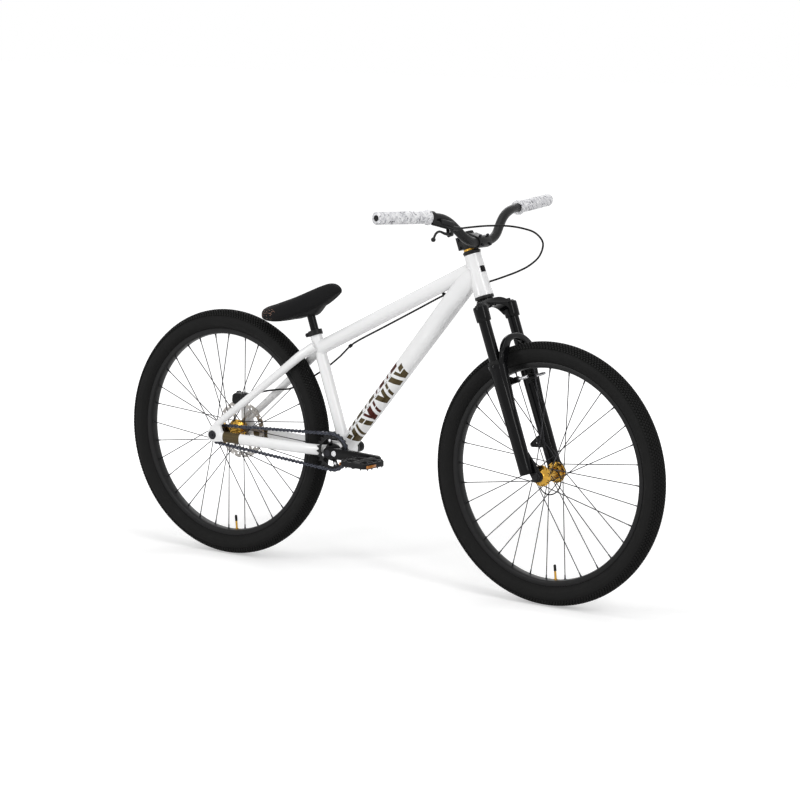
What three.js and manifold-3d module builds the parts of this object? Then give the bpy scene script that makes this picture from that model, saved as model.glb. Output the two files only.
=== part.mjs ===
// A dirt jump bike in millimetres: +X forward, +Y left, +Z up, tyres standing on z = 0.
import * as THREE from "three";
import { mergeVertices } from "three/addons/utils/BufferGeometryUtils.js";
import Module from "manifold-3d";

const wasm = await Module();
wasm.setup();

// Sides of round pieces, by how large they are
const wheelSegments = 32;
const fine = 20;
const medium = 12;
const coarse = 8;

// Fits shared by the whole bike
const gap = 0.3;
const overrun = 4;
const weld = 0.001;
const unit = 1;
const bevel = 2;

// Wheels
const wheelbase = 1040;
const tyre = { beadRadius: 279.3, height: 57.2, halfWidth: 28.5, casing: 4, beadHalf: 13.6, beadWall: 3.2 };
const rim = { innerDepth: 9.8, innerHalf: 7, sideDepth: 6.3, halfWidth: 15.5, flangeHeight: 5.7, flangeWall: 1.6 };
const tyreRadius = tyre.beadRadius + tyre.height;
const rimInner = tyre.beadRadius - rim.innerDepth;
const rimSide = tyre.beadRadius - rim.sideDepth;
const rimFlange = tyre.beadRadius + rim.flangeHeight;
const spoke = { radius: 1.2, holeInset: 4.5, nippleOffset: 3, count: 16, crossAngle: THREE.MathUtils.degToRad(67.5) };
const frontHub = { flangeAt: 33, flangeHalf: 1.5, flangeRadius: 27, waistRadius: 13, endRadius: 10, end: 47.7 };
const rearHub = { flangeAt: 32, flangeHalf: 1.5, flangeRadius: 29.5, waistRadius: 13.5, bossRadius: 22, bossFrom: 36 };
const flare = 5;
const axleRadius = 5;
const rotor = {
  inner: 51, thickness: 1.8, radius: 80, ringInner: 64, hubRadius: 24, hole: 17.5, armHalf: 4.5, armCount: 6, sides: 26,
};

// Drive
const chainPitch = 12.7;
const ringTeeth = 24;
const cogTeeth = 12;
const chainCentres = 392.3;
const bottomBracketDrop = 7.5;
const chainLine = 50.6;
const tooth = { thickness: 3.2, rootDepth: 4.2, tipHeight: 3.6, rootShare: 0.32, tipShare: 0.09 };
const ring = { innerRadius: 40, hubRadius: 24, armHalf: 6, armAngles: [105, 200, 290, 15] };
const driver = { radius: 17, inner: 33 };
const chain = {
  plateHalfHeight: 4.2, plateInner: 2.2, plateWall: 1.2, rollerRadius: 2.6, rollerShares: [0.2, 0.4, 0.6, 0.8],
};
const shell = { radius: 20, halfWidth: 36.5, bore: 14 };
const cup = { end: 46.5, sleeveFrom: 28 };
const spindle = { radius: 9.5, half: 75 };
const crank = {
  length: 165, bossRadius: 15, eyeRadius: 12, bossInner: 53.5, bossOuter: 73, eyeInner: 70, eyeOuter: 86,
};
const pedalAxle = { threadRadius: 7.1, threadFrom: 71, collarRadius: 8.5, collarTo: 95.7, radius: 5.5, end: 176 };
const pedal = {
  inner: 96, outer: 183, length: 90, height: 20, frame: 9, barrelRadius: 11, webHalf: 3.5, boreEnd: 178, chamfer: 8,
};

// Frame
const headAngle = THREE.MathUtils.degToRad(70);
const forkOffset = 44;
const head = { bottom: 480, top: 590, bottomRadius: 25, topRadius: 22, bore: 17 };
const lowerCup = { bottom: 472, radius: 25, sleeve: 16.3, sleeveLength: 12 };
const upperCup = { top: 600, radius: 25, lipRadius: 22 };
const topTube = { radius: 19, rearDrop: 41.7533, headAt: 556 };
const downTube = { lowerHalfHeight: 24, upperHalfHeight: 29, headAt: 550, widthShare: 0.85 };
const seatAngle = THREE.MathUtils.degToRad(70.9);
const seatTube = { radius: 15.9, footForward: 8.8, footDrop: 2.5, length: 326, bore: 11.5 };
const clamp = { radius: 19.3, below: 8, above: 6, lugLength: 10, lugHalfWidth: 9, lugHalfHeight: 6 };
const seatStay = {
  startAbove: 7.2, startHalf: 20, endForward: 17, endRise: 33.5, endHalf: 68, startRadius: 13, endRadius: 9.5,
};
const seatStayShares = [[0, 0, 0], [0.128, 0.333, 0.122], [0.3, 0.5, 0.3], [0.783, 0.88, 0.787], [1, 1, 1]];
const chainStay = { startBack: 2, startHalf: 25, endForward: 23, endHalf: 68, halfHeight: 14.5, halfWidth: 8, sag: 3 };
const chainStayShares = [[0, 0, 0], [0.054, 0.14, 0.3], [0.232, 0.395, 1], [0.736, 0.814, 0.5], [1, 1, 0]];
const dropout = {
  inner: 66, outer: 74, eyeRadius: 19, chainLugForward: 23, chainLugDrop: 2.5, chainLugRadius: 14,
  seatLugForward: 14, seatLugRise: 29.5, seatLugRadius: 10,
  postForward: -4, postHigh: 92, postRadius: 10,
};
const rearAxle = { nutRadius: 12, nutEnd: 78, end: 80.5, spacerRadius: 8 };
const caliper = {
  inner: 36.5, back: 25, front: 20, low: 68.5, high: 103.5, slotMargin: 1.7, slotTop: 84, pistonRadius: 14, pistonInner: 33,
};
const hoseRadius = 2.5;

// Saddle
const post = { radius: 11.1, length: 208, above: 58, boreSpare: 26, socketSpare: 4 };
const saddle = {
  back: 145.377, length: 248, drop: 29.36, height: 112, halfWidth: 65, rings: 14,
  seamShare: 0.42, baseWidthShare: 0.82, waistShare: 0.35,
};
const saddleTopShares = [[0, 0.25], [0.177, 0.375], [0.452, 0.607], [0.722, 0.875], [0.879, 1], [0.968, 0.964], [1, 0.9]];
const saddleBottomShares = [
  [0, 0.18], [0.06, 0.071], [0.2, 0.018], [0.387, 0.018], [0.524, 0.107], [0.681, 0.179], [0.722, 0.268],
  [0.786, 0.446], [0.859, 0.58], [0.927, 0.696], [1, 0.8],
];
const saddleWidthShares = [
  [0, 0.72], [0.15, 0.97], [0.27, 1], [0.45, 0.84], [0.65, 0.54], [0.8, 0.42], [0.93, 0.38], [1, 0.3],
];

// Fork, in steering coordinates: t forward of the steering axis, s up along it from the level of the front axle
const leg = { forward: 24, half: 65, bottom: 12, top: 299, bottomRadius: 18, topRadius: 20.5, boreBottom: 55 };
const stanchion = { radius: 15, bottom: 165, top: 445 };
const crown = {
  bottom: 412, socketTop: 452, top: 470, socketRadius: 19.5, bossRadius: 24, raceRadius: 21, raceTop: 471.7,
  archTop: 447, archHalf: 46, haunchHalf: 30, haunch: 440, shoulderHalf: 26,
};
const arch = {
  inner: 44.6, outer: 58, top: 366, under: 352, shoulder: 358, shoulderHalf: 30, crestHalf: 24,
  kneeHalf: 66, knee: 322, underKneeHalf: 50, underKnee: 318,
};
const foot = { halfFrom: 56, halfTo: 74, bottom: 268, front: 57 };
const brakeBoss = { half: 40, height: 249, radius: 8, front: 62, webBack: 30, webFront: 50, webHalf: 8 };
const fin = { inner: 50.5, outer: 58.5, eyeRadius: 14, kneeForward: 27, kneeRise: 62, kneeRadius: 11 };
const discTab = {
  inner: 50.5, outer: 57, back: 15, low: 62, high: 108, radius: 8, rootForward: 14, rootRadius: 8, hole: 3.3,
};
const frontAxle = { locknutRadius: 9, nutRadius: 11.5, nutEnd: 62, capRadius: 8, end: 65.5 };

// Cockpit, in steering coordinates
const steerer = { radius: 14.3, bore: 11.5, bottom: 447.5, top: 644.5 };
const spacer = { bottom: 600.3, top: 605.2, radius: 19.5 };
const stem = {
  bottom: 605.5, top: 645, clampRadius: 19, boltBack: 30, boltHalf: 12, boltInset: 3, neckHalf: 17, neckTop: 632,
  reach: 36, barHeight: 614, barClampRadius: 16, barClampHalf: 26,
};
const cap = { top: 650, radius: 18, plugRadius: 11.2, plugBottom: 630 };
const handlebar = {
  half: 380, rise: 92, clampRadius: 12.5, clampHalf: 30, bendRadius: 12, gripRadius: 11.1, bow: 6.5,
  bendShare: 0.395, straightShare: 0.453,
};
const barHalfShares = [0, 0.074, 0.132, 0.174, 0.21, 0.25, 0.29, 0.329, 0.382, 0.453, 0.526, 0.76, 1];
const barRiseShares = [0, 0, 0.0435, 0.12, 0.228, 0.38, 0.522, 0.63, 0.728, 0.799, 0.8261, 0.913, 1];
const barBowShares = [0, 0, 0.23, 0.46, 0.55, 0.62, 0.77, 0.92, 1, 0.97, 0.4615, -1.154, -2.769];
const grip = { clear: 2, radius: 16, flangeRadius: 22, flangeLength: 5, end: 3 };
const perch = {
  fromBend: 18.86, clampLength: 14, clampRadius: 15, bodyRadius: 7.5, noseRadius: 6,
  rear: [3.465, -5, -13.2125], nose: [14.965, 77, -39.7125],
  lug: [6.965, 51, -50.2125], lugRadius: 6, lugHalfLength: 7, forkHalf: 4.3,
};
const lever = {
  route: [[0, 0, 0], [0, -20, 3.5], [0, -41, 10.5], [0.5, -60, 6], [4, -82, -8.5]],
  radius: 3.2, ballRadius: 6, hubRadius: 5.5, hubHalf: 4,
};

// The hose's route, chosen by hand: first in steering coordinates to the head tube, then in the frame's own
const loopRoute = [
  [55.4, -112.2, 649.3], [60, -85, 649], [66, -45, 647.5], [75, 0, 644], [96, 50, 633.5], [114, 90, 618], [129, 112, 600],
  [138, 118, 571], [129, 100, 541], [113, 70, 523.7], [94, 40, 515.3], [62, 24.5, 512.5], [32, 25.5, 512.6],
  [6, 27.4, 513.3],
];
const hoseRoute = [
  [308.4, 27.5, 805.9], [282, 28.8, 797], [250, 29.5, 787], [225, 28.5, 778.5], [205, 20, 771.5], [184.5, 10, 764.5],
  [100, 10, 721], [0, 10, 669.3], [-85, 10, 626], [-119, 14, 606], [-150, 24, 583], [-172, 28, 566], [-230, 36, 527],
  [-329, 40, 472], [-380, 36, 462], [-425, 37.5, 453], [-465, 41, 441], [-487, 43, 435], [-499.5, 43, 434],
];

// Materials
function paint(color, roughness, metalness) {
  return new THREE.MeshStandardMaterial({ color, roughness, metalness });
}
const white = paint(0xf2f2ef, 0.22, 0);
const glossBlack = paint(0x0c0c0d, 0.18, 0.1);
const matteBlack = paint(0x18181a, 0.55, 0.2);
const rubber = paint(0x1b1b1c, 0.85, 0);
const gold = paint(0xc08a2c, 0.3, 0.9);
const steel = paint(0x8d8478, 0.4, 0.9);
const darkSteel = paint(0x2b2e36, 0.45, 0.8);
const marble = paint(0xbdbdbb, 0.7, 0);
const foam = paint(0x222224, 0.75, 0);

// Solids from three.js geometry
function solid(geometry) {
  const bare = geometry.clone();
  bare.deleteAttribute("normal");
  bare.deleteAttribute("uv");
  const merged = mergeVertices(bare, weld);
  const index = merged.index.array;
  const faces = [];
  for (let i = 0; i < index.length; i += 3) {
    const [a, b, c] = [index[i], index[i + 1], index[i + 2]];
    if (a !== b && b !== c && a !== c) faces.push([a, b, c]);
  }
  const make = (list) =>
    new wasm.Manifold(
      new wasm.Mesh({
        numProp: 3,
        vertProperties: merged.attributes.position.array,
        triVerts: Uint32Array.from(list.flat()),
      }),
    );
  const made = make(faces);
  return made.volume() < 0 ? make(faces.map(([a, b, c]) => [a, c, b])) : made;
}

function geometryOf(made) {
  const mesh = made.getMesh();
  const geometry = new THREE.BufferGeometry();
  geometry.setAttribute("position", new THREE.BufferAttribute(mesh.vertProperties, mesh.numProp));
  geometry.setIndex(new THREE.BufferAttribute(mesh.triVerts, 1));
  geometry.computeVertexNormals();
  return geometry;
}

function add(group, name, made, material) {
  const mesh = new THREE.Mesh(geometryOf(made), material);
  mesh.name = name;
  group.add(mesh);
}

// A cut can leave slivers beyond the neighbour: this keeps the tube itself.
function mainPiece(made) {
  return made.decompose().reduce((best, piece) => (piece.volume() > best.volume() ? piece : best));
}

function point(x, y, z) {
  return new THREE.Vector3(x, y, z);
}

function aim(geometry, origin, direction) {
  const turn = new THREE.Quaternion().setFromUnitVectors(point(0, 1, 0), direction.clone().normalize());
  return geometry.applyQuaternion(turn).translate(origin.x, origin.y, origin.z);
}

// Round a hole's polygon lies outside its radius, so that a round pin clears the flats.
function boreRadius(radius, sides) {
  return radius / Math.cos(Math.PI / sides);
}

function rod(from, to, fromRadius, toRadius, sides) {
  const run = to.clone().sub(from);
  const geometry = new THREE.CylinderGeometry(toRadius, fromRadius, run.length(), sides);
  return solid(aim(geometry, from.clone().add(to).divideScalar(2), run));
}

function turned(profile, segments, origin, direction) {
  const points = profile.map(([radius, along]) => new THREE.Vector2(radius, along));
  return solid(aim(new THREE.LatheGeometry(points, segments), origin, direction));
}

function turnedRing(profile, segments, origin, direction) {
  return turned([...profile, profile[0]], segments, origin, direction);
}

function block(x0, x1, y0, y1, z0, z1) {
  const geometry = new THREE.BoxGeometry(x1 - x0, y1 - y0, z1 - z0);
  return solid(geometry.translate((x0 + x1) / 2, (y0 + y1) / 2, (z0 + z1) / 2));
}

function circlePoints(radius, sides, x = 0, y = 0) {
  const points = [];
  for (let i = 0; i < sides; i++) {
    const angle = (2 * Math.PI * (i + 0.5)) / sides;
    points.push([x + radius * Math.cos(angle), y + radius * Math.sin(angle)]);
  }
  return points;
}

// The outline that a belt pulled round the circles [x, y, radius] takes
function beltOutline(circles, sides) {
  const points = circles.flatMap(([x, y, radius]) => circlePoints(radius, sides, x, y));
  points.sort((a, b) => a[0] - b[0] || a[1] - b[1]);
  const turn = (o, a, b) => (a[0] - o[0]) * (b[1] - o[1]) - (a[1] - o[1]) * (b[0] - o[0]);
  const half = (list) => {
    const line = [];
    for (const p of list) {
      while (line.length > 1 && turn(line.at(-2), line.at(-1), p) <= weld) line.pop();
      line.push(p);
    }
    line.pop();
    return line;
  };
  return [...half(points), ...half([...points].reverse())];
}

function extruded(outline, depth, holes = []) {
  const toPath = (points) => points.map(([x, y]) => new THREE.Vector2(x, y));
  const shape = new THREE.Shape(toPath(outline));
  for (const hole of holes) shape.holes.push(new THREE.Path(toPath(hole)));
  return new THREE.ExtrudeGeometry(shape, { depth, bevelEnabled: false });
}

// Outline seen from the side (x, z), from y0 to y1
function sidePlate(outline, y0, y1, holes) {
  return solid(extruded(outline, y1 - y0, holes).rotateX(Math.PI / 2).translate(0, y1, 0));
}

// Outline seen from the front (y, z), from x0 to x1
function frontPlate(outline, x0, x1) {
  const basis = new THREE.Matrix4().makeBasis(point(0, 1, 0), point(0, 0, 1), point(1, 0, 0));
  return solid(extruded(outline, x1 - x0).applyMatrix4(basis).translate(x0, 0, 0));
}

// Outline seen from above (x, y), from z0 to z1
function planPlate(outline, z0, z1) {
  return solid(extruded(outline, z1 - z0).translate(0, 0, z0));
}

// A tube along a curve: radiusAt gives each ring's radius, and widthShare narrows it across the bike.
function tube(curve, steps, sides, radiusAt, widthShare = 1) {
  const section = new THREE.Shape(circlePoints(unit, sides).map(([x, y]) => new THREE.Vector2(x, y)));
  const geometry = new THREE.ExtrudeGeometry(section, { steps, extrudePath: curve });
  const centres = curve.getSpacedPoints(steps);
  const position = geometry.getAttribute("position");
  const place = new THREE.Vector3();
  for (let i = 0; i < position.count; i++) {
    place.fromBufferAttribute(position, i);
    const near = centres.reduce((best, c) => (c.distanceTo(place) < best.distanceTo(place) ? c : best));
    const offset = place.clone().sub(near).multiplyScalar(radiusAt(near, centres.indexOf(near) / steps) / unit);
    offset.y *= widthShare;
    position.setXYZ(i, near.x + offset.x, near.y + offset.y, near.z + offset.z);
  }
  return solid(geometry);
}

function smoothCurve(points) {
  return new THREE.CatmullRomCurve3(points.map((p) => (p.isVector3 ? p : point(...p))), false, "centripetal");
}

function union(pieces) {
  return pieces.reduce((sum, piece) => sum.add(piece));
}

function lerp(a, b, share) {
  return a + (b - a) * share;
}

function tableAt(table, share) {
  const next = Math.max(1, table.findIndex(([at]) => at >= share));
  const [[x0, y0], [x1, y1]] = [table[next - 1], table[next]];
  return lerp(y0, y1, (share - x0) / (x1 - x0));
}

// Places
const rear = point(-wheelbase / 2, 0, tyreRadius);
const front = point(wheelbase / 2, 0, tyreRadius);
const leftward = point(0, 1, 0);
const tilt = Math.PI / 2 - headAngle;
const steerBase = point(front.x - forkOffset * Math.cos(tilt), 0, front.z - forkOffset * Math.sin(tilt));
const steerUp = point(-Math.sin(tilt), 0, Math.cos(tilt));
const steerForward = point(Math.cos(tilt), 0, Math.sin(tilt));
const bottomBracket = point(
  rear.x + Math.sqrt(chainCentres ** 2 - bottomBracketDrop ** 2),
  0,
  rear.z - bottomBracketDrop,
);
const seatFoot = point(bottomBracket.x + seatTube.footForward, 0, bottomBracket.z - seatTube.footDrop);
const seatUp = point(-Math.cos(seatAngle), 0, Math.sin(seatAngle));
const up = point(0, 0, 1);
const origin = point(0, 0, 0);

function steerPoint(t, y, s) {
  return steerBase.clone().addScaledVector(steerForward, t).addScaledVector(steerUp, s).setY(y);
}

function seatPoint(along) {
  return seatFoot.clone().addScaledVector(seatUp, along);
}

function seatPointAtHeight(z) {
  return seatPoint((z - seatFoot.z) / seatUp.z);
}

const topTubeRearHeight = seatPoint(seatTube.length).z - topTube.rearDrop;
const postTop = seatTube.length + post.above;
const postFoot = postTop - post.length;

// Wheels, built round the axle's centre with the axle along Y
function tyreSolid() {
  const wide = THREE.MathUtils.degToRad(132);
  const narrow = THREE.MathUtils.degToRad(126);
  const steps = 7;
  // The tread's middle facet is the tyre's full radius, so that the tyre stands on it.
  const centre = tyreRadius - tyre.halfWidth * Math.cos(wide / steps);
  const neck = rimFlange + gap + weld;
  const arc = (radius, from, to, count) => {
    const points = [];
    for (let i = 0; i <= count; i++) {
      const angle = lerp(from, to, i / count);
      points.push([centre + radius * Math.cos(angle), radius * Math.sin(angle)]);
    }
    return points;
  };
  const bead = [
    [neck, tyre.beadHalf],
    [tyre.beadRadius, tyre.beadHalf],
    [tyre.beadRadius, tyre.beadHalf - tyre.beadWall],
  ];
  const mirror = ([radius, y]) => [radius, -y];
  return turnedRing(
    [
      ...arc(tyre.halfWidth, -wide, wide, steps),
      ...bead,
      ...arc(tyre.halfWidth - tyre.casing, narrow, -narrow, 3),
      ...bead.map(mirror).reverse(),
    ],
    wheelSegments,
    origin,
    leftward,
  );
}

function rimSolid() {
  const inside = rim.halfWidth - rim.flangeWall;
  const floor = tyre.beadRadius - gap;
  return turnedRing(
    [
      [rimInner, -rim.innerHalf], [rimInner, rim.innerHalf],
      [rimSide, rim.halfWidth], [rimFlange, rim.halfWidth],
      [rimFlange, inside], [floor, inside], [floor, -inside], [rimFlange, -inside],
      [rimFlange, -rim.halfWidth], [rimSide, -rim.halfWidth],
    ],
    wheelSegments,
    origin,
    leftward,
  );
}

// Half of the spokes lean each way, joined where they cross, and each tip meets a corner of the rim's polygon.
function spokesSolid(hub, side) {
  const holeRadius = hub.flangeRadius - spoke.holeInset;
  const clear = hub.flangeRadius + gap + spoke.radius;
  const end = rimInner - spoke.radius * Math.sin(Math.PI / wheelSegments) - gap;
  const pieces = [];
  for (let i = 0; i < spoke.count; i++) {
    const angle = (2 * Math.PI * i) / spoke.count;
    const lean = i % 2 ? -spoke.crossAngle : spoke.crossAngle;
    const hole = point(holeRadius * Math.cos(angle), side * hub.flangeAt, holeRadius * Math.sin(angle));
    const far = angle + lean;
    const tip = point(end * Math.cos(far), side * spoke.nippleOffset, end * Math.sin(far));
    const run = tip.clone().sub(hole);
    const flat = Math.hypot(run.x, run.z);
    const towards = (hole.x * run.x + hole.z * run.z) / flat;
    const start = (Math.sqrt(towards ** 2 + clear ** 2 - holeRadius ** 2) - towards) / flat;
    pieces.push(rod(hole.clone().addScaledVector(run, start), tip, spoke.radius, spoke.radius, 3));
  }
  return union(pieces);
}

function frontHubSolid() {
  const bore = boreRadius(axleRadius + gap, coarse);
  const outside = frontHub.flangeAt + frontHub.flangeHalf;
  const inside = frontHub.flangeAt - frontHub.flangeHalf;
  const half = [
    [frontHub.waistRadius, inside - flare], [frontHub.flangeRadius, inside], [frontHub.flangeRadius, outside],
    [frontHub.endRadius, outside + flare], [frontHub.endRadius, frontHub.end], [bore, frontHub.end],
  ];
  return turnedRing([...half, ...half.map(([r, y]) => [r, -y]).reverse()], medium, origin, leftward);
}

function rearHubSolid() {
  const bore = boreRadius(axleRadius + gap, coarse);
  const driveSide = -driver.inner + gap;
  return turnedRing(
    [
      [bore, driveSide],
      [rearHub.flangeRadius, driveSide],
      [rearHub.flangeRadius, -rearHub.flangeAt + rearHub.flangeHalf],
      [rearHub.waistRadius, -rearHub.flangeAt + rearHub.flangeHalf + flare],
      [rearHub.waistRadius, rearHub.flangeAt - rearHub.flangeHalf - flare],
      [rearHub.flangeRadius, rearHub.flangeAt - rearHub.flangeHalf],
      [rearHub.flangeRadius, rearHub.flangeAt + rearHub.flangeHalf],
      [rearHub.bossRadius, rearHub.bossFrom],
      [rearHub.bossRadius, rotor.inner - gap],
      [bore, rotor.inner - gap],
    ],
    medium,
    origin,
    leftward,
  );
}

function rotorSolid() {
  const y1 = rotor.inner + rotor.thickness;
  const outline = circlePoints(rotor.radius, rotor.sides);
  const outer = sidePlate(outline, rotor.inner, y1, [circlePoints(rotor.ringInner, fine)]);
  const centre = sidePlate(circlePoints(rotor.hubRadius, coarse), rotor.inner, y1);
  const reach = (rotor.ringInner + rotor.radius) / 2;
  const arms = [];
  for (let i = 0; i < rotor.armCount; i++) {
    const angle = (2 * Math.PI * i) / rotor.armCount;
    const arm = block(0, reach, rotor.inner, y1, -rotor.armHalf, rotor.armHalf);
    arms.push(arm.rotate([0, THREE.MathUtils.radToDeg(angle), 0]));
  }
  return union([outer, centre, ...arms]).subtract(
    sidePlate(circlePoints(rotor.hole, coarse), rotor.inner - overrun, y1 + overrun),
  );
}

// Chain drive, outlines as seen from the side
function pitchRadius(teeth) {
  return chainPitch / (2 * Math.sin(Math.PI / teeth));
}

function toothedOutline(teeth) {
  const step = (2 * Math.PI) / teeth;
  const low = pitchRadius(teeth) - tooth.rootDepth;
  const high = pitchRadius(teeth) + tooth.tipHeight;
  const outline = [];
  for (let i = 0; i < teeth; i++) {
    const corners = [[-tooth.rootShare, low], [-tooth.tipShare, high], [tooth.tipShare, high], [tooth.rootShare, low]];
    for (const [share, radius] of corners) {
      const angle = (i + share) * step;
      outline.push([radius * Math.cos(angle), radius * Math.sin(angle)]);
    }
  }
  return outline;
}

const toothInner = -chainLine + tooth.thickness / 2;
const toothOuter = -chainLine - tooth.thickness / 2;

function cogSolid() {
  const bore = circlePoints(boreRadius(driver.radius + gap, medium), medium);
  return sidePlate(toothedOutline(cogTeeth), toothOuter, toothInner, [bore]);
}

function chainringSolid() {
  const toothed = sidePlate(toothedOutline(ringTeeth), toothOuter, toothInner, [circlePoints(ring.innerRadius, fine)]);
  const hub = sidePlate(circlePoints(ring.hubRadius, medium), toothOuter, toothInner);
  const reach = ring.innerRadius + tooth.rootDepth / 2;
  const arms = ring.armAngles.map((degrees) =>
    block(0, reach, toothOuter, toothInner, -ring.armHalf, ring.armHalf).rotate([0, -degrees, 0]),
  );
  const bore = circlePoints(boreRadius(spindle.radius + gap, coarse), coarse);
  return union([toothed, hub, ...arms]).subtract(sidePlate(bore, toothOuter - overrun, toothInner + overrun));
}

function chainSolid() {
  const ringAt = [bottomBracket.x, bottomBracket.z, pitchRadius(ringTeeth)];
  const cogAt = [rear.x, rear.z, pitchRadius(cogTeeth)];
  const grown = ([x, z, radius], extra) => [x, z, radius + extra];
  const outline = (extra) => beltOutline([grown(ringAt, extra), grown(cogAt, extra)], fine);
  const strips = [-1, 1].map((side) => {
    const near = -chainLine + side * chain.plateInner;
    const far = near + side * chain.plateWall;
    const inside = outline(-chain.plateHalfHeight);
    return sidePlate(outline(chain.plateHalfHeight), Math.min(near, far), Math.max(near, far), [inside]);
  });
  const along = new THREE.Vector2(ringAt[0] - cogAt[0], ringAt[1] - cogAt[1]);
  const length = along.length();
  along.divideScalar(length);
  const lean = (cogAt[2] - ringAt[2]) / length;
  const across = chain.plateInner + chain.plateWall / 2;
  const rollers = [-1, 1].flatMap((side) => {
    const rise = side * Math.sqrt(1 - lean ** 2);
    const normal = new THREE.Vector2(along.x * lean - along.y * rise, along.y * lean + along.x * rise);
    return chain.rollerShares.map((share) => {
      const x = lerp(cogAt[0] + normal.x * cogAt[2], ringAt[0] + normal.x * ringAt[2], share);
      const z = lerp(cogAt[1] + normal.y * cogAt[2], ringAt[1] + normal.y * ringAt[2], share);
      const radius = chain.rollerRadius;
      return rod(point(x, -chainLine - across, z), point(x, -chainLine + across, z), radius, radius, 6);
    });
  });
  return union([...strips, ...rollers]);
}

// A crank arm pointing forward on the right, round the spindle's axis
function crankArmSolid() {
  const outline = beltOutline([[0, 0, crank.bossRadius], [crank.length, 0, crank.eyeRadius]], medium);
  const geometry = extruded(outline, unit).rotateX(Math.PI / 2);
  const position = geometry.getAttribute("position");
  for (let i = 0; i < position.count; i++) {
    const share = THREE.MathUtils.clamp(position.getX(i) / crank.length, 0, 1);
    const outward = -position.getY(i) / unit;
    const inner = lerp(crank.bossInner, crank.eyeInner, share);
    const outer = lerp(crank.bossOuter, crank.eyeOuter, share);
    position.setY(i, -lerp(inner, outer, outward));
  }
  const through = (x, radius) => {
    const hole = boreRadius(radius + gap, coarse);
    return rod(point(x, -crank.eyeOuter - overrun, 0), point(x, -crank.bossInner + overrun, 0), hole, hole, coarse);
  };
  return solid(geometry)
    .subtract(through(0, spindle.radius))
    .subtract(through(crank.length, pedalAxle.threadRadius));
}

// Built on the right, pointing outward along -Y; the left arm's group turns it round
function pedalAxleSolid() {
  const start = pedalAxle.threadFrom;
  return turned(
    [
      [0, start], [pedalAxle.threadRadius, start], [pedalAxle.threadRadius, crank.eyeOuter + gap],
      [pedalAxle.collarRadius, crank.eyeOuter + gap], [pedalAxle.collarRadius, pedalAxle.collarTo],
      [pedalAxle.radius, pedalAxle.collarTo], [pedalAxle.radius, pedalAxle.end], [0, pedalAxle.end],
    ],
    coarse,
    origin,
    point(0, -1, 0),
  );
}

// The cage of a flat pedal on the right: a chamfered frame round a barrel, with a web across each side
function pedalSolid() {
  const half = pedal.length / 2;
  const [y0, y1] = [-pedal.outer, -pedal.inner];
  const tall = pedal.height / 2;
  const cut = pedal.chamfer;
  const outline = [
    [-half + cut, y0], [half - cut, y0], [half, y0 + cut], [half, y1 - cut],
    [half - cut, y1], [-half + cut, y1], [-half, y1 - cut], [-half, y0 + cut],
  ];
  const middle = (y0 + y1) / 2;
  let cage = planPlate(outline, -tall, tall);
  for (const end of [-1, 1]) {
    for (const [from, to] of [[y0 + pedal.frame, middle - pedal.webHalf], [middle + pedal.webHalf, y1 - pedal.frame]]) {
      const near = end * pedal.barrelRadius;
      const far = end * (half - pedal.frame);
      cage = cage.subtract(block(Math.min(near, far), Math.max(near, far), from, to, -tall - overrun, tall + overrun));
    }
  }
  const bore = boreRadius(pedalAxle.radius + gap, coarse);
  return cage.subtract(rod(point(0, y1 + overrun, 0), point(0, -pedal.boreEnd, 0), bore, bore, coarse));
}

// Frame tubes, in the bike's own place
function shellCut() {
  const radius = boreRadius(shell.radius + gap, fine);
  const half = shell.halfWidth + cup.end;
  return rod(bottomBracket.clone().setY(-half), bottomBracket.clone().setY(half), radius, radius, fine);
}

function headCut() {
  const grow = (radius) => boreRadius(radius + gap, fine);
  return rod(steerPoint(0, 0, head.bottom), steerPoint(0, 0, head.top), grow(head.bottomRadius), grow(head.topRadius), fine);
}

function seatCut() {
  const radius = boreRadius(seatTube.radius + gap, fine);
  return rod(seatPoint(0), seatPoint(seatTube.length + overrun), radius, radius, fine);
}

function topTubeRod(extra) {
  const from = seatPointAtHeight(topTubeRearHeight);
  return rod(from, steerPoint(0, 0, topTube.headAt), topTube.radius + extra, topTube.radius + extra, fine);
}

function topTubeSolid() {
  return mainPiece(topTubeRod(0).subtract(headCut()).subtract(seatCut()));
}

function downTubeSolid() {
  const from = bottomBracket;
  const to = steerPoint(0, 0, downTube.headAt);
  const run = to.clone().sub(from);
  const geometry = new THREE.CylinderGeometry(downTube.upperHalfHeight, downTube.lowerHalfHeight, run.length(), fine);
  const turn = new THREE.Quaternion().setFromUnitVectors(leftward, run.clone().normalize());
  const middle = from.clone().add(to).divideScalar(2);
  geometry.applyQuaternion(turn).scale(1, downTube.widthShare, 1).translate(middle.x, middle.y, middle.z);
  const wide = head.top - head.bottom;
  const topRun = steerPoint(0, 0, topTube.headAt).sub(seatPointAtHeight(topTubeRearHeight));
  const above = new THREE.BoxGeometry(wide, topRun.length(), wide).translate(-wide / 2, topRun.length() / 2, 0);
  const overTop = solid(aim(above, seatPointAtHeight(topTubeRearHeight), topRun));
  const cuts = [overTop, topTubeRod(gap * 2), headCut(), shellCut(), seatCut()];
  return mainPiece(solid(geometry).subtract(union(cuts)));
}

function seatTubeSolid() {
  const bore = boreRadius(seatTube.bore, medium);
  const hole = rod(seatPoint(postFoot - post.boreSpare), seatPoint(seatTube.length + overrun), bore, bore, medium);
  return rod(seatPoint(0), seatPoint(seatTube.length), seatTube.radius, seatTube.radius, fine)
    .subtract(hole)
    .subtract(shellCut());
}

function headTubeSolid() {
  return turnedRing(
    [
      [head.bottomRadius, head.bottom], [head.topRadius, head.top],
      [head.bore, head.top], [head.bore, head.bottom],
    ],
    fine,
    steerBase,
    steerUp,
  );
}

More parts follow.
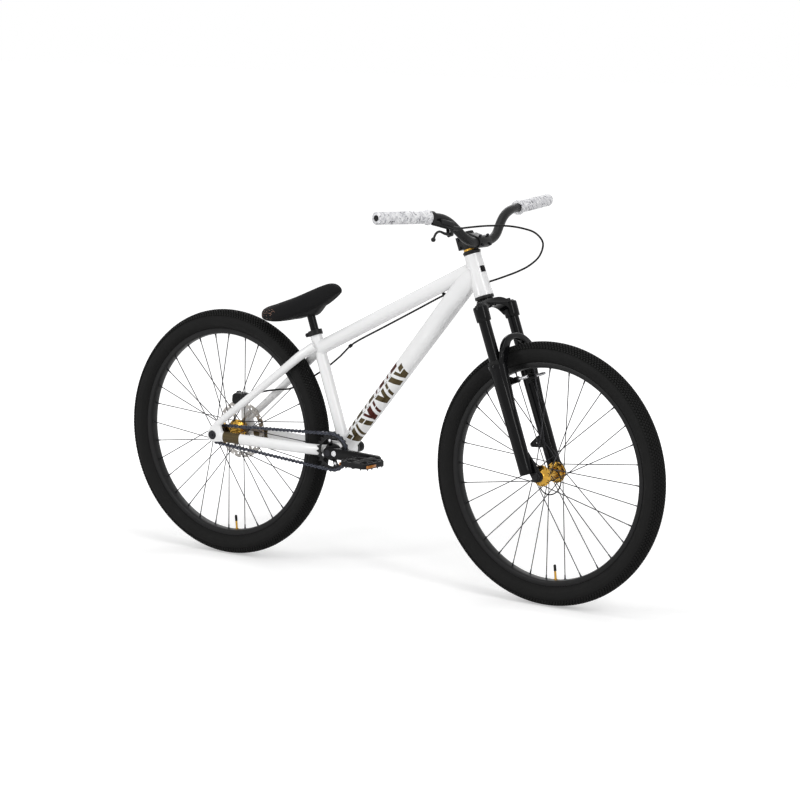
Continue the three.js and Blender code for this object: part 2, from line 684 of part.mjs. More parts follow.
function lowerCupSolid() {
  const bore = boreRadius(steerer.radius + gap, medium);
  const top = head.bottom - gap;
  return turnedRing(
    [
      [bore, lowerCup.bottom], [lowerCup.radius - bevel, lowerCup.bottom], [lowerCup.radius, lowerCup.bottom + bevel],
      [lowerCup.radius, top], [lowerCup.sleeve, top], [lowerCup.sleeve, top + lowerCup.sleeveLength],
      [bore, top + lowerCup.sleeveLength],
    ],
    medium,
    steerBase,
    steerUp,
  );
}

function upperCupSolid() {
  const bore = boreRadius(steerer.radius + gap, medium);
  const bottom = head.top + gap;
  return turnedRing(
    [
      [bore, bottom - lowerCup.sleeveLength], [lowerCup.sleeve, bottom - lowerCup.sleeveLength], [lowerCup.sleeve, bottom],
      [upperCup.lipRadius, bottom], [upperCup.radius, bottom + bevel], [upperCup.radius, upperCup.top - bevel],
      [upperCup.lipRadius, upperCup.top], [bore, upperCup.top],
    ],
    medium,
    steerBase,
    steerUp,
  );
}

function dropoutOutline() {
  const eye = [rear.x, rear.z, dropout.eyeRadius];
  const stayLug = [rear.x + dropout.chainLugForward, rear.z - dropout.chainLugDrop, dropout.chainLugRadius];
  const seatLug = [rear.x + dropout.seatLugForward, rear.z + dropout.seatLugRise, dropout.seatLugRadius];
  return beltOutline([eye, stayLug, seatLug], fine);
}

function dropoutSolid(side) {
  const [y0, y1] = side > 0 ? [dropout.inner, dropout.outer] : [-dropout.outer, -dropout.inner];
  let plate = sidePlate(dropoutOutline(), y0, y1);
  if (side > 0) {
    const x = rear.x + dropout.postForward;
    const low = [x, rear.z + dropout.seatLugRise, dropout.postRadius];
    const high = [x, rear.z + dropout.postHigh, dropout.postRadius];
    plate = plate.add(sidePlate(beltOutline([low, high], medium), y0, y1));
  }
  const hole = boreRadius(axleRadius + gap, coarse);
  return plate.subtract(rod(rear.clone().setY(y0 - overrun), rear.clone().setY(y1 + overrun), hole, hole, coarse));
}

function dropoutCut(side) {
  const grown = dropoutOutline().map(([x, z]) => {
    const middle = [rear.x + dropout.seatLugForward, rear.z];
    const away = Math.hypot(x - middle[0], z - middle[1]);
    const share = (away + gap * 1.5) / away;
    return [middle[0] + (x - middle[0]) * share, middle[1] + (z - middle[1]) * share];
  });
  const margin = seatStay.endRadius;
  const [y0, y1] = [dropout.inner - margin, dropout.outer + margin];
  return side > 0 ? sidePlate(grown, y0, y1) : sidePlate(grown, -y1, -y0);
}

function seatStaySolid(side) {
  const start = seatPointAtHeight(topTubeRearHeight + seatStay.startAbove).setY(side * seatStay.startHalf);
  const end = point(rear.x + seatStay.endForward, side * seatStay.endHalf, rear.z + seatStay.endRise);
  const route = seatStayShares.map(([a, b, c]) =>
    point(lerp(start.x, end.x, a), lerp(start.y, end.y, b), lerp(start.z, end.z, c)),
  );
  const stay = tube(smoothCurve(route), 7, medium, (_, share) => lerp(seatStay.startRadius, seatStay.endRadius, share));
  return mainPiece(stay.subtract(seatCut()).subtract(topTubeRod(gap * 2)).subtract(dropoutCut(side)));
}

function chainStaySolid(side) {
  const start = bottomBracket.clone().add(point(-chainStay.startBack, side * chainStay.startHalf, 0));
  const end = point(rear.x + chainStay.endForward, side * chainStay.endHalf, rear.z - dropout.chainLugDrop);
  const route = chainStayShares.map(([a, b, c]) =>
    point(lerp(start.x, end.x, a), lerp(start.y, end.y, b), lerp(start.z, end.z, a) - chainStay.sag * c),
  );
  const stay = tube(smoothCurve(route), 6, medium, () => chainStay.halfHeight, chainStay.halfWidth / chainStay.halfHeight);
  return mainPiece(stay.subtract(shellCut()).subtract(dropoutCut(side)));
}

function shellSolid() {
  const half = shell.halfWidth;
  return turnedRing(
    [[shell.radius, -half], [shell.radius, half], [shell.bore, half], [shell.bore, -half]],
    fine,
    bottomBracket,
    leftward,
  );
}

function cupSolid(side) {
  const bore = boreRadius(spindle.radius + gap, medium);
  const face = shell.halfWidth + gap;
  const sleeve = shell.bore - gap * 1.5;
  return turnedRing(
    [
      [bore, cup.sleeveFrom], [sleeve, cup.sleeveFrom], [sleeve, face], [shell.radius, face],
      [shell.radius, cup.end], [bore, cup.end],
    ],
    medium,
    bottomBracket,
    point(0, side, 0),
  );
}

function clampSolid() {
  const low = seatTube.length - clamp.below;
  const high = seatTube.length + clamp.above;
  const ledge = seatTube.length + gap;
  const wide = boreRadius(seatTube.radius + gap, medium);
  const narrow = boreRadius(seatTube.bore, medium);
  const collar = turnedRing(
    [[clamp.radius, low], [clamp.radius, high], [narrow, high], [narrow, ledge], [wide, ledge], [wide, low]],
    medium,
    seatFoot,
    seatUp,
  );
  const middle = seatPoint((low + high) / 2 - gap);
  const reach = (clamp.radius + seatTube.radius + gap) / 2;
  const lug = new THREE.BoxGeometry(clamp.lugLength, clamp.lugHalfHeight * 2, clamp.lugHalfWidth * 2);
  lug.translate(-reach - clamp.lugLength / 2, 0, 0);
  return collar.add(solid(aim(lug, middle, seatUp)));
}

function rearAxleSolid() {
  const nutFrom = dropout.outer + gap;
  const spacerEnd = dropout.inner - gap;
  const driveEnd = chainLine + tooth.thickness / 2 + gap * 2;
  const brakeEnd = rotor.inner + gap / 2;
  const radius = axleRadius;
  const bar = turned(
    [
      [0, -rearAxle.end], [radius, -rearAxle.end], [radius, -spacerEnd], [rearAxle.spacerRadius, -spacerEnd],
      [rearAxle.spacerRadius, -driveEnd], [radius, -driveEnd], [radius, brakeEnd], [rearAxle.spacerRadius, brakeEnd],
      [rearAxle.spacerRadius, spacerEnd], [radius, spacerEnd], [radius, rearAxle.end], [0, rearAxle.end],
    ],
    coarse,
    rear,
    leftward,
  );
  const nut = (side) => {
    const [from, to] = [nutFrom, rearAxle.nutEnd].map((y) => rear.clone().setY(side * y));
    return rod(from, to, rearAxle.nutRadius, rearAxle.nutRadius, 6);
  };
  return union([bar, nut(-1), nut(1)]);
}

function caliperSolid() {
  const outer = dropout.inner - gap;
  const body = block(
    rear.x - caliper.back, rear.x + caliper.front, caliper.inner, outer, rear.z + caliper.low, rear.z + caliper.high,
  );
  const middle = rear.z + (caliper.low + caliper.high) / 2;
  const pistonAt = (y) => point(rear.x + (caliper.front - caliper.back) / 2, y, middle + gap);
  const pistonEnds = [pistonAt(caliper.pistonInner), pistonAt(caliper.inner + overrun)];
  const piston = rod(...pistonEnds, caliper.pistonRadius, caliper.pistonRadius, medium);
  const slot = block(
    rear.x - caliper.back - overrun, rear.x + caliper.front + overrun,
    rotor.inner - caliper.slotMargin, rotor.inner + rotor.thickness + caliper.slotMargin,
    rear.z + caliper.low - overrun, rear.z + caliper.slotTop,
  );
  return union([body, piston]).subtract(slot);
}

// Saddle: a ball drawn out along the seat, between the given lower and upper lines
function saddleForm(lower, upper, widthShare, rounds, sides) {
  const geometry = new THREE.SphereGeometry(unit, sides, saddle.rings).rotateZ(-Math.PI / 2);
  const position = geometry.getAttribute("position");
  for (let i = 0; i < position.count; i++) {
    const along = THREE.MathUtils.clamp((position.getX(i) / unit + 1) / 2, 0, 1);
    const ringSize = Math.hypot(position.getY(i), position.getZ(i)) / unit;
    const swell = Math.sqrt(Math.min(ringSize, 1));
    const at = [position.getY(i), position.getZ(i)].map((v) => (Math.abs(v) < weld ? 0 : v));
    const [across, rise] = ringSize > weld ? at.map((v) => v / unit / ringSize) : [0, 0];
    const power = rise < 0 ? rounds.lower : rounds.upper;
    const bend = (v) => Math.sign(v) * Math.abs(v) ** power;
    const [low, high] = [lower(along), upper(along)];
    const waist = lerp(low, high, rounds.waist);
    const height = rise < 0 ? waist - low : high - waist;
    const halfWidth = saddle.halfWidth * tableAt(saddleWidthShares, along) * widthShare;
    const x = seatPoint(postTop).x - saddle.back + saddle.length * along;
    position.setXYZ(i, x, halfWidth * swell * bend(across), waist + height * swell * bend(rise));
  }
  return solid(geometry);
}

function saddleLine(table, along) {
  return seatPoint(postTop).z - saddle.drop + saddle.height * tableAt(table, along);
}

function seamLine(along) {
  return lerp(saddleLine(saddleBottomShares, along), saddleLine(saddleTopShares, along), saddle.seamShare);
}

function cushionSolid() {
  const rounds = { lower: 0.4, upper: 0.85, waist: saddle.waistShare };
  return saddleForm(seamLine, (along) => saddleLine(saddleTopShares, along), 1, rounds, fine);
}

function saddleBaseSolid() {
  const rounds = { lower: 0.8, upper: 0.4, waist: 1 - saddle.waistShare };
  const bottom = (along) => saddleLine(saddleBottomShares, along);
  const form = saddleForm(bottom, (along) => seamLine(along) - gap, saddle.baseWidthShare, rounds, medium);
  const hole = boreRadius(post.radius + gap, medium);
  return mainPiece(form.subtract(rod(seatPoint(postFoot), seatPoint(postTop + post.socketSpare), hole, hole, medium)));
}

function postSolid() {
  return rod(seatPoint(postFoot), seatPoint(postTop), post.radius, post.radius, medium);
}

// Fork, in steering coordinates
function upright(t, y, bottom, top, bottomRadius, topRadius, sides) {
  return rod(point(t, y, bottom), point(t, y, top), bottomRadius, topRadius, sides);
}

function crownSolid() {
  const boss = [0, 0, crown.bossRadius];
  const socket = (side) => [leg.forward, side * leg.half, crown.socketRadius];
  const plan = union([-1, 1].map((side) => planPlate(beltOutline([boss, socket(side)], fine), crown.bottom, crown.top)));
  const outer = leg.half + crown.socketRadius;
  const half = [
    [crown.bossRadius, crown.top], [crown.shoulderHalf, crown.top - bevel], [crown.archHalf, crown.socketTop],
    [outer, crown.socketTop], [outer, crown.bottom], [crown.archHalf, crown.bottom], [crown.haunchHalf, crown.haunch],
    [crown.haunchHalf / 3, crown.archTop],
  ];
  const back = -crown.bossRadius - overrun;
  const ahead = leg.forward + crown.socketRadius + overrun;
  const view = frontPlate([...half, ...half.map(([y, z]) => [-y, z]).reverse()], back, ahead);
  const race = upright(0, 0, crown.top - overrun, crown.raceTop, crown.raceRadius, crown.raceRadius, medium);
  const steererBore = boreRadius(steerer.radius + gap, medium);
  const legBore = boreRadius(stanchion.radius + gap, medium);
  let made = plan.intersect(view).add(race);
  made = made.subtract(upright(0, 0, crown.bottom, crown.raceTop + overrun, steererBore, steererBore, medium));
  for (const side of [-1, 1]) {
    const y = side * leg.half;
    made = made.subtract(upright(leg.forward, y, crown.bottom - overrun, stanchion.top + gap, legBore, legBore, medium));
  }
  return made;
}

function stanchionSolid(side) {
  return upright(leg.forward, side * leg.half, stanchion.bottom, stanchion.top, stanchion.radius, stanchion.radius, medium);
}

function archSolid() {
  const outer = [
    [foot.halfTo, foot.bottom], [foot.halfTo, leg.top], [arch.kneeHalf, arch.knee], [arch.shoulderHalf, arch.shoulder],
    [arch.crestHalf, arch.top],
  ];
  const inner = [
    [arch.shoulderHalf - overrun, arch.under], [arch.underKneeHalf, arch.underKnee], [foot.halfFrom, leg.top],
    [foot.halfFrom, foot.bottom],
  ];
  const mirror = ([y, z]) => [-y, z];
  const outline = [...outer, ...outer.map(mirror).reverse(), ...inner.map(mirror).reverse(), ...inner];
  return frontPlate(outline, arch.inner, arch.outer);
}

function lowersSolid() {
  const bore = boreRadius(stanchion.radius + gap, medium);
  const pieces = [archSolid()];
  for (const side of [-1, 1]) {
    const y = side * leg.half;
    const span = (from, to) => (side > 0 ? [from, to] : [-to, -from]);
    pieces.push(upright(leg.forward, y, leg.bottom, leg.top, leg.bottomRadius, leg.topRadius, medium));
    pieces.push(block(leg.forward, foot.front, ...span(foot.halfFrom, foot.halfTo), foot.bottom, leg.top));
    const bossAt = (t) => point(t, side * brakeBoss.half, brakeBoss.height);
    pieces.push(rod(bossAt(brakeBoss.webBack), bossAt(brakeBoss.front), brakeBoss.radius, brakeBoss.radius, coarse));
    pieces.push(block(
      brakeBoss.webBack, brakeBoss.webFront, ...span(brakeBoss.half, leg.half),
      brakeBoss.height - brakeBoss.webHalf, brakeBoss.height + brakeBoss.webHalf,
    ));
    const finCircles = [[forkOffset, 0, fin.eyeRadius], [fin.kneeForward, fin.kneeRise, fin.kneeRadius]];
    pieces.push(sidePlate(beltOutline(finCircles, medium), ...span(fin.inner, fin.outer)));
  }
  const tab = beltOutline([
    [-discTab.back, discTab.low, discTab.radius], [-discTab.back, discTab.high, discTab.radius],
    [discTab.rootForward, discTab.low - discTab.radius, discTab.rootRadius],
    [discTab.rootForward, discTab.high + discTab.radius, discTab.rootRadius],
  ], coarse);
  const holes = [discTab.low, discTab.high].map((s) => circlePoints(discTab.hole, 6, -discTab.back, s));
  pieces.push(sidePlate(tab, discTab.inner, discTab.outer, holes));
  let made = union(pieces);
  for (const side of [-1, 1]) {
    made = made.subtract(upright(leg.forward, side * leg.half, leg.boreBottom, arch.top, bore, bore, medium));
  }
  const hole = boreRadius(axleRadius + gap, coarse);
  return made.subtract(rod(point(forkOffset, -leg.half, 0), point(forkOffset, leg.half, 0), hole, hole, coarse));
}

function frontAxleSolid() {
  const half = [
    [axleRadius, frontHub.end + gap], [frontAxle.locknutRadius, frontHub.end + gap],
    [frontAxle.locknutRadius, fin.inner - gap], [axleRadius, fin.inner - gap],
    [axleRadius, fin.outer + gap], [frontAxle.nutRadius, fin.outer + gap],
    [frontAxle.nutRadius, frontAxle.nutEnd], [frontAxle.capRadius, frontAxle.nutEnd],
    [frontAxle.capRadius, frontAxle.end], [0, frontAxle.end],
  ];
  return turned([...half.map(([r, y]) => [r, -y]).reverse(), ...half], coarse, point(forkOffset, 0, 0), leftward);
}

// Cockpit, in steering coordinates
function ringUp(outer, bore, bottom, top) {
  const hole = boreRadius(bore, medium);
  return turnedRing([[outer, bottom], [outer, top], [hole, top], [hole, bottom]], medium, origin, up);
}

function stemWhole() {
  const barAt = (y) => point(stem.reach, y, stem.barHeight);
  const clampBody = upright(0, 0, stem.bottom, stem.top, stem.clampRadius, stem.clampRadius, fine);
  const [boltLow, boltHigh] = [stem.bottom + stem.boltInset, stem.top - stem.boltInset];
  const bolts = block(-stem.boltBack, 0, -stem.boltHalf, stem.boltHalf, boltLow, boltHigh);
  const neck = sidePlate(
    [
      [0, stem.bottom], [stem.clampRadius, stem.bottom], [stem.reach, stem.barHeight - stem.barClampRadius / 2],
      [stem.reach, stem.neckTop - bevel], [stem.clampRadius, stem.top - stem.boltInset], [0, stem.top - stem.boltInset],
    ],
    -stem.neckHalf,
    stem.neckHalf,
  );
  const barClamp = rod(barAt(-stem.barClampHalf), barAt(stem.barClampHalf), stem.barClampRadius, stem.barClampRadius, fine);
  const barBore = boreRadius(handlebar.clampRadius + gap, medium);
  const steererBore = boreRadius(steerer.radius + gap, medium);
  return union([clampBody, bolts, neck, barClamp])
    .subtract(rod(barAt(-stem.barClampHalf - overrun), barAt(stem.barClampHalf + overrun), barBore, barBore, medium))
    .subtract(upright(0, 0, stem.bottom - overrun, stem.top + overrun, steererBore, steererBore, medium));
}

function frontHalf(from) {
  const wide = stem.barClampHalf + overrun;
  const ahead = stem.reach + stem.barClampRadius + overrun;
  return block(from, ahead, -wide, wide, stem.bottom - stem.boltBack, stem.top + overrun);
}

function capSolid() {
  const seat = stem.top + gap;
  return turned(
    [
      [0, cap.plugBottom], [cap.plugRadius, cap.plugBottom], [cap.plugRadius, seat], [cap.radius, seat],
      [cap.radius, cap.top - bevel], [cap.radius - bevel, cap.top], [0, cap.top],
    ],
    medium,
    origin,
    up,
  );
}

function barPoint(i, side) {
  const t = stem.reach + barBowShares[i] * handlebar.bow;
  return point(t, side * barHalfShares[i] * handlebar.half, stem.barHeight + barRiseShares[i] * handlebar.rise);
}

// The bar runs straight between its last three points, and everything clamped on it follows this line.
function barLine(side, outward) {
  const last = barHalfShares.length - 1;
  const [a, b] = [barPoint(last - 2, side), barPoint(last, side)];
  return a.clone().lerp(b, (outward - Math.abs(a.y)) / Math.abs(b.y - a.y));
}

const barStraightHalf = handlebar.straightShare * handlebar.half;
const perchAt = barStraightHalf + perch.fromBend;
const gripFrom = perchAt + perch.clampLength / 2 + grip.clear;
const perchPlace = barLine(-1, perchAt);
const leverPivot = perchPlace.clone().add(point(...perch.lug));

function handlebarSolid() {
  const bendHalf = handlebar.bendShare * handlebar.half;
  const points = [];
  for (let i = barHalfShares.length - 1; i > 0; i--) points.push(barPoint(i, -1));
  for (let i = 0; i < barHalfShares.length; i++) points.push(barPoint(i, 1));
  const radiusAt = (place) => {
    const outward = Math.abs(place.y);
    if (outward < handlebar.clampHalf) return handlebar.clampRadius;
    if (outward < bendHalf) return handlebar.bendRadius;
    const share = (outward - bendHalf) / (barStraightHalf - bendHalf);
    return lerp(handlebar.bendRadius, handlebar.gripRadius, Math.min(share, 1));
  };
  return tube(smoothCurve(points), 32, medium, radiusAt);
}

function gripSolid(side) {
  const start = barLine(side, gripFrom);
  const end = barLine(side, handlebar.half);
  const run = end.clone().sub(start);
  const length = run.length();
  const bore = boreRadius(handlebar.gripRadius + gap, medium);
  return turned(
    [
      [bore, 0], [grip.flangeRadius, 0], [grip.flangeRadius, grip.flangeLength], [grip.radius, grip.flangeLength],
      [grip.radius, length + grip.end], [0, length + grip.end], [0, length + gap], [bore, length + gap], [bore, 0],
    ],
    medium,
    start,
    run,
  );
}

function perchSolid() {
  const middle = perchPlace;
  const along = barLine(-1, handlebar.half).sub(middle).normalize();
  const end = (sign) => middle.clone().addScaledVector(along, (sign * perch.clampLength) / 2);
  const beyond = (sign) => middle.clone().addScaledVector(along, sign * perch.clampLength * 2);
  const bore = boreRadius(handlebar.gripRadius + gap, coarse);
  const [from, to] = [perch.rear, perch.nose].map((p) => middle.clone().add(point(...p)));
  const lug = leverPivot;
  const lugEnd = (sign) => lug.clone().setX(lug.x + sign * perch.lugHalfLength);
  const root = from.clone().lerp(to, (lug.y - from.y) / (to.y - from.y));
  return union([
    rod(end(-1), end(1), perch.clampRadius, perch.clampRadius, medium),
    rod(from, to, perch.bodyRadius, perch.noseRadius, coarse),
    rod(lugEnd(-1), lugEnd(1), perch.lugRadius, perch.lugRadius, coarse),
    block(lugEnd(-1).x, lugEnd(1).x, lug.y - perch.lugRadius, lug.y + perch.lugRadius, lug.z, root.z),
  ])
    .subtract(rod(beyond(-1), beyond(1), bore, bore, coarse))
    .subtract(block(
      lug.x - perch.forkHalf, lug.x + perch.forkHalf, lug.y - perch.lugRadius - overrun, lug.y + perch.lugRadius + overrun,
      lug.z - perch.lugRadius - overrun, lug.z + perch.lugRadius + gap,
    ));
}

function leverSolid() {
  const route = lever.route.map((p) => leverPivot.clone().add(point(...p)));
  const hub = route[0];
  const ball = route.at(-1);
  const blade = tube(smoothCurve(route), 7, 6, () => lever.radius);
  const [from, to] = [-lever.hubHalf, lever.hubHalf].map((half) => hub.clone().setX(hub.x + half));
  const boss = rod(from, to, lever.hubRadius, lever.hubRadius, coarse);
  const tip = solid(new THREE.SphereGeometry(lever.ballRadius, 8, 5).translate(ball.x, ball.y, ball.z));
  return union([blade, boss, tip]);
}

function hoseSolid(route, steps) {
  return tube(smoothCurve(route), steps, 8, () => hoseRadius);
}

// The bike
const bike = new THREE.Group();

function addFrame(group) {
  add(group, "head_tube", headTubeSolid(), white);
  add(group, "top_tube", topTubeSolid(), white);
  add(group, "down_tube", downTubeSolid(), white);
  add(group, "seat_tube", seatTubeSolid(), white);
  add(group, "bottom_bracket_shell", shellSolid(), white);
  add(group, "lower_headset_cup", lowerCupSolid(), glossBlack);
  add(group, "upper_headset_cup", upperCupSolid(), glossBlack);
  for (const [name, side] of [["right", -1], ["left", 1]]) {
    add(group, name + "_seat_stay", seatStaySolid(side), white);
    add(group, name + "_chain_stay", chainStaySolid(side), white);
    add(group, name + "_dropout", dropoutSolid(side), white);
    add(group, name + "_bracket_cup", cupSolid(side), matteBlack);
  }
  add(group, "seat_clamp", clampSolid(), matteBlack);
  add(group, "rear_axle", rearAxleSolid(), darkSteel);
  add(group, "brake_caliper", caliperSolid(), matteBlack);
  add(group, "brake_hose", hoseSolid(hoseRoute, 38), rubber);
  add(group, "chain", chainSolid(), darkSteel);
  add(group, "seat_post", postSolid(), matteBlack);
  add(group, "saddle_base", saddleBaseSolid(), matteBlack);
  add(group, "saddle", cushionSolid(), foam);
}

function addCranks(group) {
  const centre = new THREE.Group();
  centre.position.copy(bottomBracket);
  group.add(centre);
  const [from, to] = [point(0, -spindle.half, 0), point(0, spindle.half, 0)];
  add(centre, "spindle", rod(from, to, spindle.radius, spindle.radius, medium), darkSteel);
  add(centre, "chainring", chainringSolid(), glossBlack);
  for (const [name, side] of [["right", -1], ["left", 1]]) {
    const arm = new THREE.Group();
    arm.rotation.z = side > 0 ? Math.PI : 0;
    centre.add(arm);
    add(arm, name + "_crank_arm", crankArmSolid(), matteBlack);
    const eye = new THREE.Group();
    eye.position.x = crank.length;
    arm.add(eye);
    add(eye, name + "_pedal_axle", pedalAxleSolid(), darkSteel);
    add(eye, name + "_pedal", pedalSolid(), matteBlack);
  }
}

function addWheel(group, end, hub, hubSolid) {
  add(group, end + "_tyre", tyreSolid(), rubber);
  add(group, end + "_rim", rimSolid(), glossBlack);
  add(group, end + "_spokes_right", spokesSolid(hub, -1), darkSteel);
  add(group, end + "_spokes_left", spokesSolid(hub, 1), darkSteel);
  add(group, end + "_hub", hubSolid, gold);
}

function addRearWheel(group) {
  const wheel = new THREE.Group();
  wheel.position.copy(rear);
  group.add(wheel);
  addWheel(wheel, "rear", rearHub, rearHubSolid());
  add(wheel, "brake_rotor", rotorSolid(), steel);
  add(wheel, "rear_cog", cogSolid(), steel);
  const bore = boreRadius(axleRadius + gap, coarse);
  const outer = chainLine + tooth.thickness / 2 + gap;
  const body = [[bore, driver.inner], [driver.radius, driver.inner], [driver.radius, outer], [bore, outer]];
  add(wheel, "freehub_body", turnedRing(body, medium, origin, point(0, -1, 0)), darkSteel);
}

function addFrontEnd(group) {
  const turning = new THREE.Group();
  turning.position.copy(steerBase);
  turning.rotation.y = -tilt;
  group.add(turning);
  const whole = stemWhole();
  add(turning, "steerer_tube", ringUp(steerer.radius, steerer.bore, steerer.bottom, steerer.top), darkSteel);
  add(turning, "fork_crown", crownSolid(), glossBlack);
  add(turning, "right_stanchion", stanchionSolid(-1), glossBlack);
  add(turning, "left_stanchion", stanchionSolid(1), glossBlack);
  add(turning, "headset_spacer", ringUp(spacer.radius, steerer.radius + gap, spacer.bottom, spacer.top), gold);
  add(turning, "stem", whole.subtract(frontHalf(stem.reach)), matteBlack);
  add(turning, "stem_faceplate", whole.intersect(frontHalf(stem.reach + gap)), matteBlack);
  add(turning, "top_cap", capSolid(), matteBlack);
  add(turning, "handlebar", handlebarSolid(), matteBlack);
  add(turning, "right_grip", gripSolid(-1), marble);
  add(turning, "left_grip", gripSolid(1), marble);
  add(turning, "lever_perch", perchSolid(), matteBlack);
  add(turning, "brake_lever", leverSolid(), matteBlack);
  add(turning, "brake_hose_loop", hoseSolid(loopRoute, 24), rubber);
  add(turning, "fork_lowers", lowersSolid(), glossBlack);
  add(turning, "front_axle", frontAxleSolid(), matteBlack);
  const wheel = new THREE.Group();
  wheel.position.x = forkOffset;
  wheel.rotation.y = tilt;
  turning.add(wheel);
  addWheel(wheel, "front", frontHub, frontHubSolid());
}

addFrame(bike);
addCranks(bike);
addRearWheel(bike);
addFrontEnd(bike);

export default bike;
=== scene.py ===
# %% [markdown]
# # A dirt jump bike
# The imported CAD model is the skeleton: it says where each tube, axle and joint is.
# This lesson dresses it. Each piece is modelled again in its real shape, with its real finish,
# and put exactly where the CAD says, so the wheels, fork, cranks and bar can still move.

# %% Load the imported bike
from math import asin, atan2, cos, pi, radians, sin, sqrt

import bmesh
import bpy
from mathutils import Matrix, Quaternion, Vector, geometry


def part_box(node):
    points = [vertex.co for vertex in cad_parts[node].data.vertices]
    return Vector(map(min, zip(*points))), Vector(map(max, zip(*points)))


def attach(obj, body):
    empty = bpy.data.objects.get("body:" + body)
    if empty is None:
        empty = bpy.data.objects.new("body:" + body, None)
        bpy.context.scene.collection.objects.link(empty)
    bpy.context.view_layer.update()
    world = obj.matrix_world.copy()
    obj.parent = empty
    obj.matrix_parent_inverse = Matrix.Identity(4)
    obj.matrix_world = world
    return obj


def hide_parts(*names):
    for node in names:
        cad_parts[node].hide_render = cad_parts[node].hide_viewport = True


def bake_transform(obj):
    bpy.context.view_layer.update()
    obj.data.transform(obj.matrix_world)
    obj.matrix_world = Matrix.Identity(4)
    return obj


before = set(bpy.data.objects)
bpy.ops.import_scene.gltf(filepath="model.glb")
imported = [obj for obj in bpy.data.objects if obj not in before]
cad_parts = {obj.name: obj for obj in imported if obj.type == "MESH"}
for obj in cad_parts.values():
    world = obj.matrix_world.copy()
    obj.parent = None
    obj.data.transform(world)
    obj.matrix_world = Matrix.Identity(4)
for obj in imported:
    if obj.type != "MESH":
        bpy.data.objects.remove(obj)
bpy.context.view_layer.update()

# %% [markdown]
# ## Where things are
# A bicycle is laid out from a few centres: two wheel axles, the crank axle, the steering axis and the
# seat tube's axis. They are measured on the CAD nodes, and every piece is placed from them. Sizes are
# in metres, X points forward, Y to the rider's left and Z up.

# %% The bike's centres
def middle_of(node):
    low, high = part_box(node)
    return (low + high) / 2


front_axle = middle_of("front_tyre")
rear_axle = middle_of("rear_tyre")
bracket = middle_of("bottom_bracket_shell")
across = Vector((0, 1, 0))
tilt = radians(20)
fork_offset = 0.044
steer_up = Vector((-sin(tilt), 0, cos(tilt)))
steer_forward = Vector((cos(tilt), 0, sin(tilt)))
steer_base = front_axle - steer_forward * fork_offset
seat_angle = radians(70.9)
seat_up = Vector((-cos(seat_angle), 0, sin(seat_angle)))
seat_foot = bracket + Vector((0.0088, 0, -0.0025))
crank_length = 0.165
leg_forward, leg_side = 0.024, 0.065
right_and_left = ((-1, "right"), (1, "left"))
print("wheelbase", round((front_axle - rear_axle).length, 3), "crank axle height", round(bracket.z, 3))


# %% Points along the steering and seat axes
def steer(forward, y, up):
    return steer_base + steer_forward * forward + steer_up * up + across * y


def on_seat(along):
    return seat_foot + seat_up * along


def lerp(a, b, share):
    return a + (b - a) * share


print(
    "steering axis meets the ground at x =",
    round((steer_base - steer_up * steer_base.z / steer_up.z).x, 3),
)

# %% [markdown]
# ## Camera
# The photograph was taken from the bike's front right with a long lens. A long lens flattens the view,
# so the camera stands over seven metres away. The shift moves the picture to the photograph's framing
# without turning the camera.

# %% Camera
camera_azimuth = radians(36.189)
camera_height_angle = radians(8.858)
camera_roll = radians(0.556)
camera_distance = 7.334
camera_target = Vector((0, 0, 0.45))
camera_data = bpy.data.cameras.new("camera")
camera_data.lens = 125.77
camera_data.sensor_width = 36
camera_data.shift_x = 0.0211
camera_data.shift_y = 0.0115
camera = bpy.data.objects.new("camera", camera_data)
bpy.context.scene.collection.objects.link(camera)
backward = Vector((
    sin(camera_azimuth) * cos(camera_height_angle),
    -cos(camera_azimuth) * cos(camera_height_angle),
    sin(camera_height_angle),
))
camera.location = camera_target + backward * camera_distance
camera.rotation_mode = "QUATERNION"
camera.rotation_quaternion = backward.to_track_quat("Z", "Y") @ Quaternion((0, 0, 1), camera_roll)
bpy.context.scene.camera = camera
bpy.context.scene.view_settings.view_transform = "Standard"
print("camera at", [round(value, 2) for value in camera.location])

# %% [markdown]
# ## Studio
# The bike stands on a white floor in front of nothing but white. The world is a soft white light, and
# four large lamps give the tubes their long highlights. Two of them are tall strips, left and right of
# the camera. Camera, glossy and transmission rays see pure white where they miss the bike.

# %% World and lamps
world = bpy.data.worlds.new("studio")
bpy.context.scene.world = world
world.use_nodes = True
nodes = world.node_tree.nodes
links = world.node_tree.links
nodes.clear()
soft_light = nodes.new("ShaderNodeBackground")
soft_light.inputs["Color"].default_value = (1, 1, 1, 1)
soft_light.inputs["Strength"].default_value = 0.42
backdrop = nodes.new("ShaderNodeBackground")
backdrop.inputs["Color"].default_value = (1, 1, 1, 1)
backdrop.inputs["Strength"].default_value = 1.0
result = nodes.new("ShaderNodeOutputWorld")


def shown_to_camera(tree, plain, shown):
    """A mix of two shaders: camera, glossy and transmission rays get the second, light gets the first."""
    path = tree.nodes.new("ShaderNodeLightPath")
    choose = tree.nodes.new("ShaderNodeMixShader")
    last = path.outputs["Is Camera Ray"]
    for ray in ("Is Glossy Ray", "Is Transmission Ray"):
        either = tree.nodes.new("ShaderNodeMath")
        either.operation = "MAXIMUM"
        tree.links.new(last, either.inputs[0])
        tree.links.new(path.outputs[ray], either.inputs[1])
        last = either.outputs["Value"]
    tree.links.new(last, choose.inputs["Fac"])
    tree.links.new(plain, choose.inputs[1])
    tree.links.new(shown, choose.inputs[2])
    return choose.outputs[0]


links.new(
    shown_to_camera(world.node_tree, soft_light.outputs[0], backdrop.outputs[0]), result.inputs["Surface"],
)


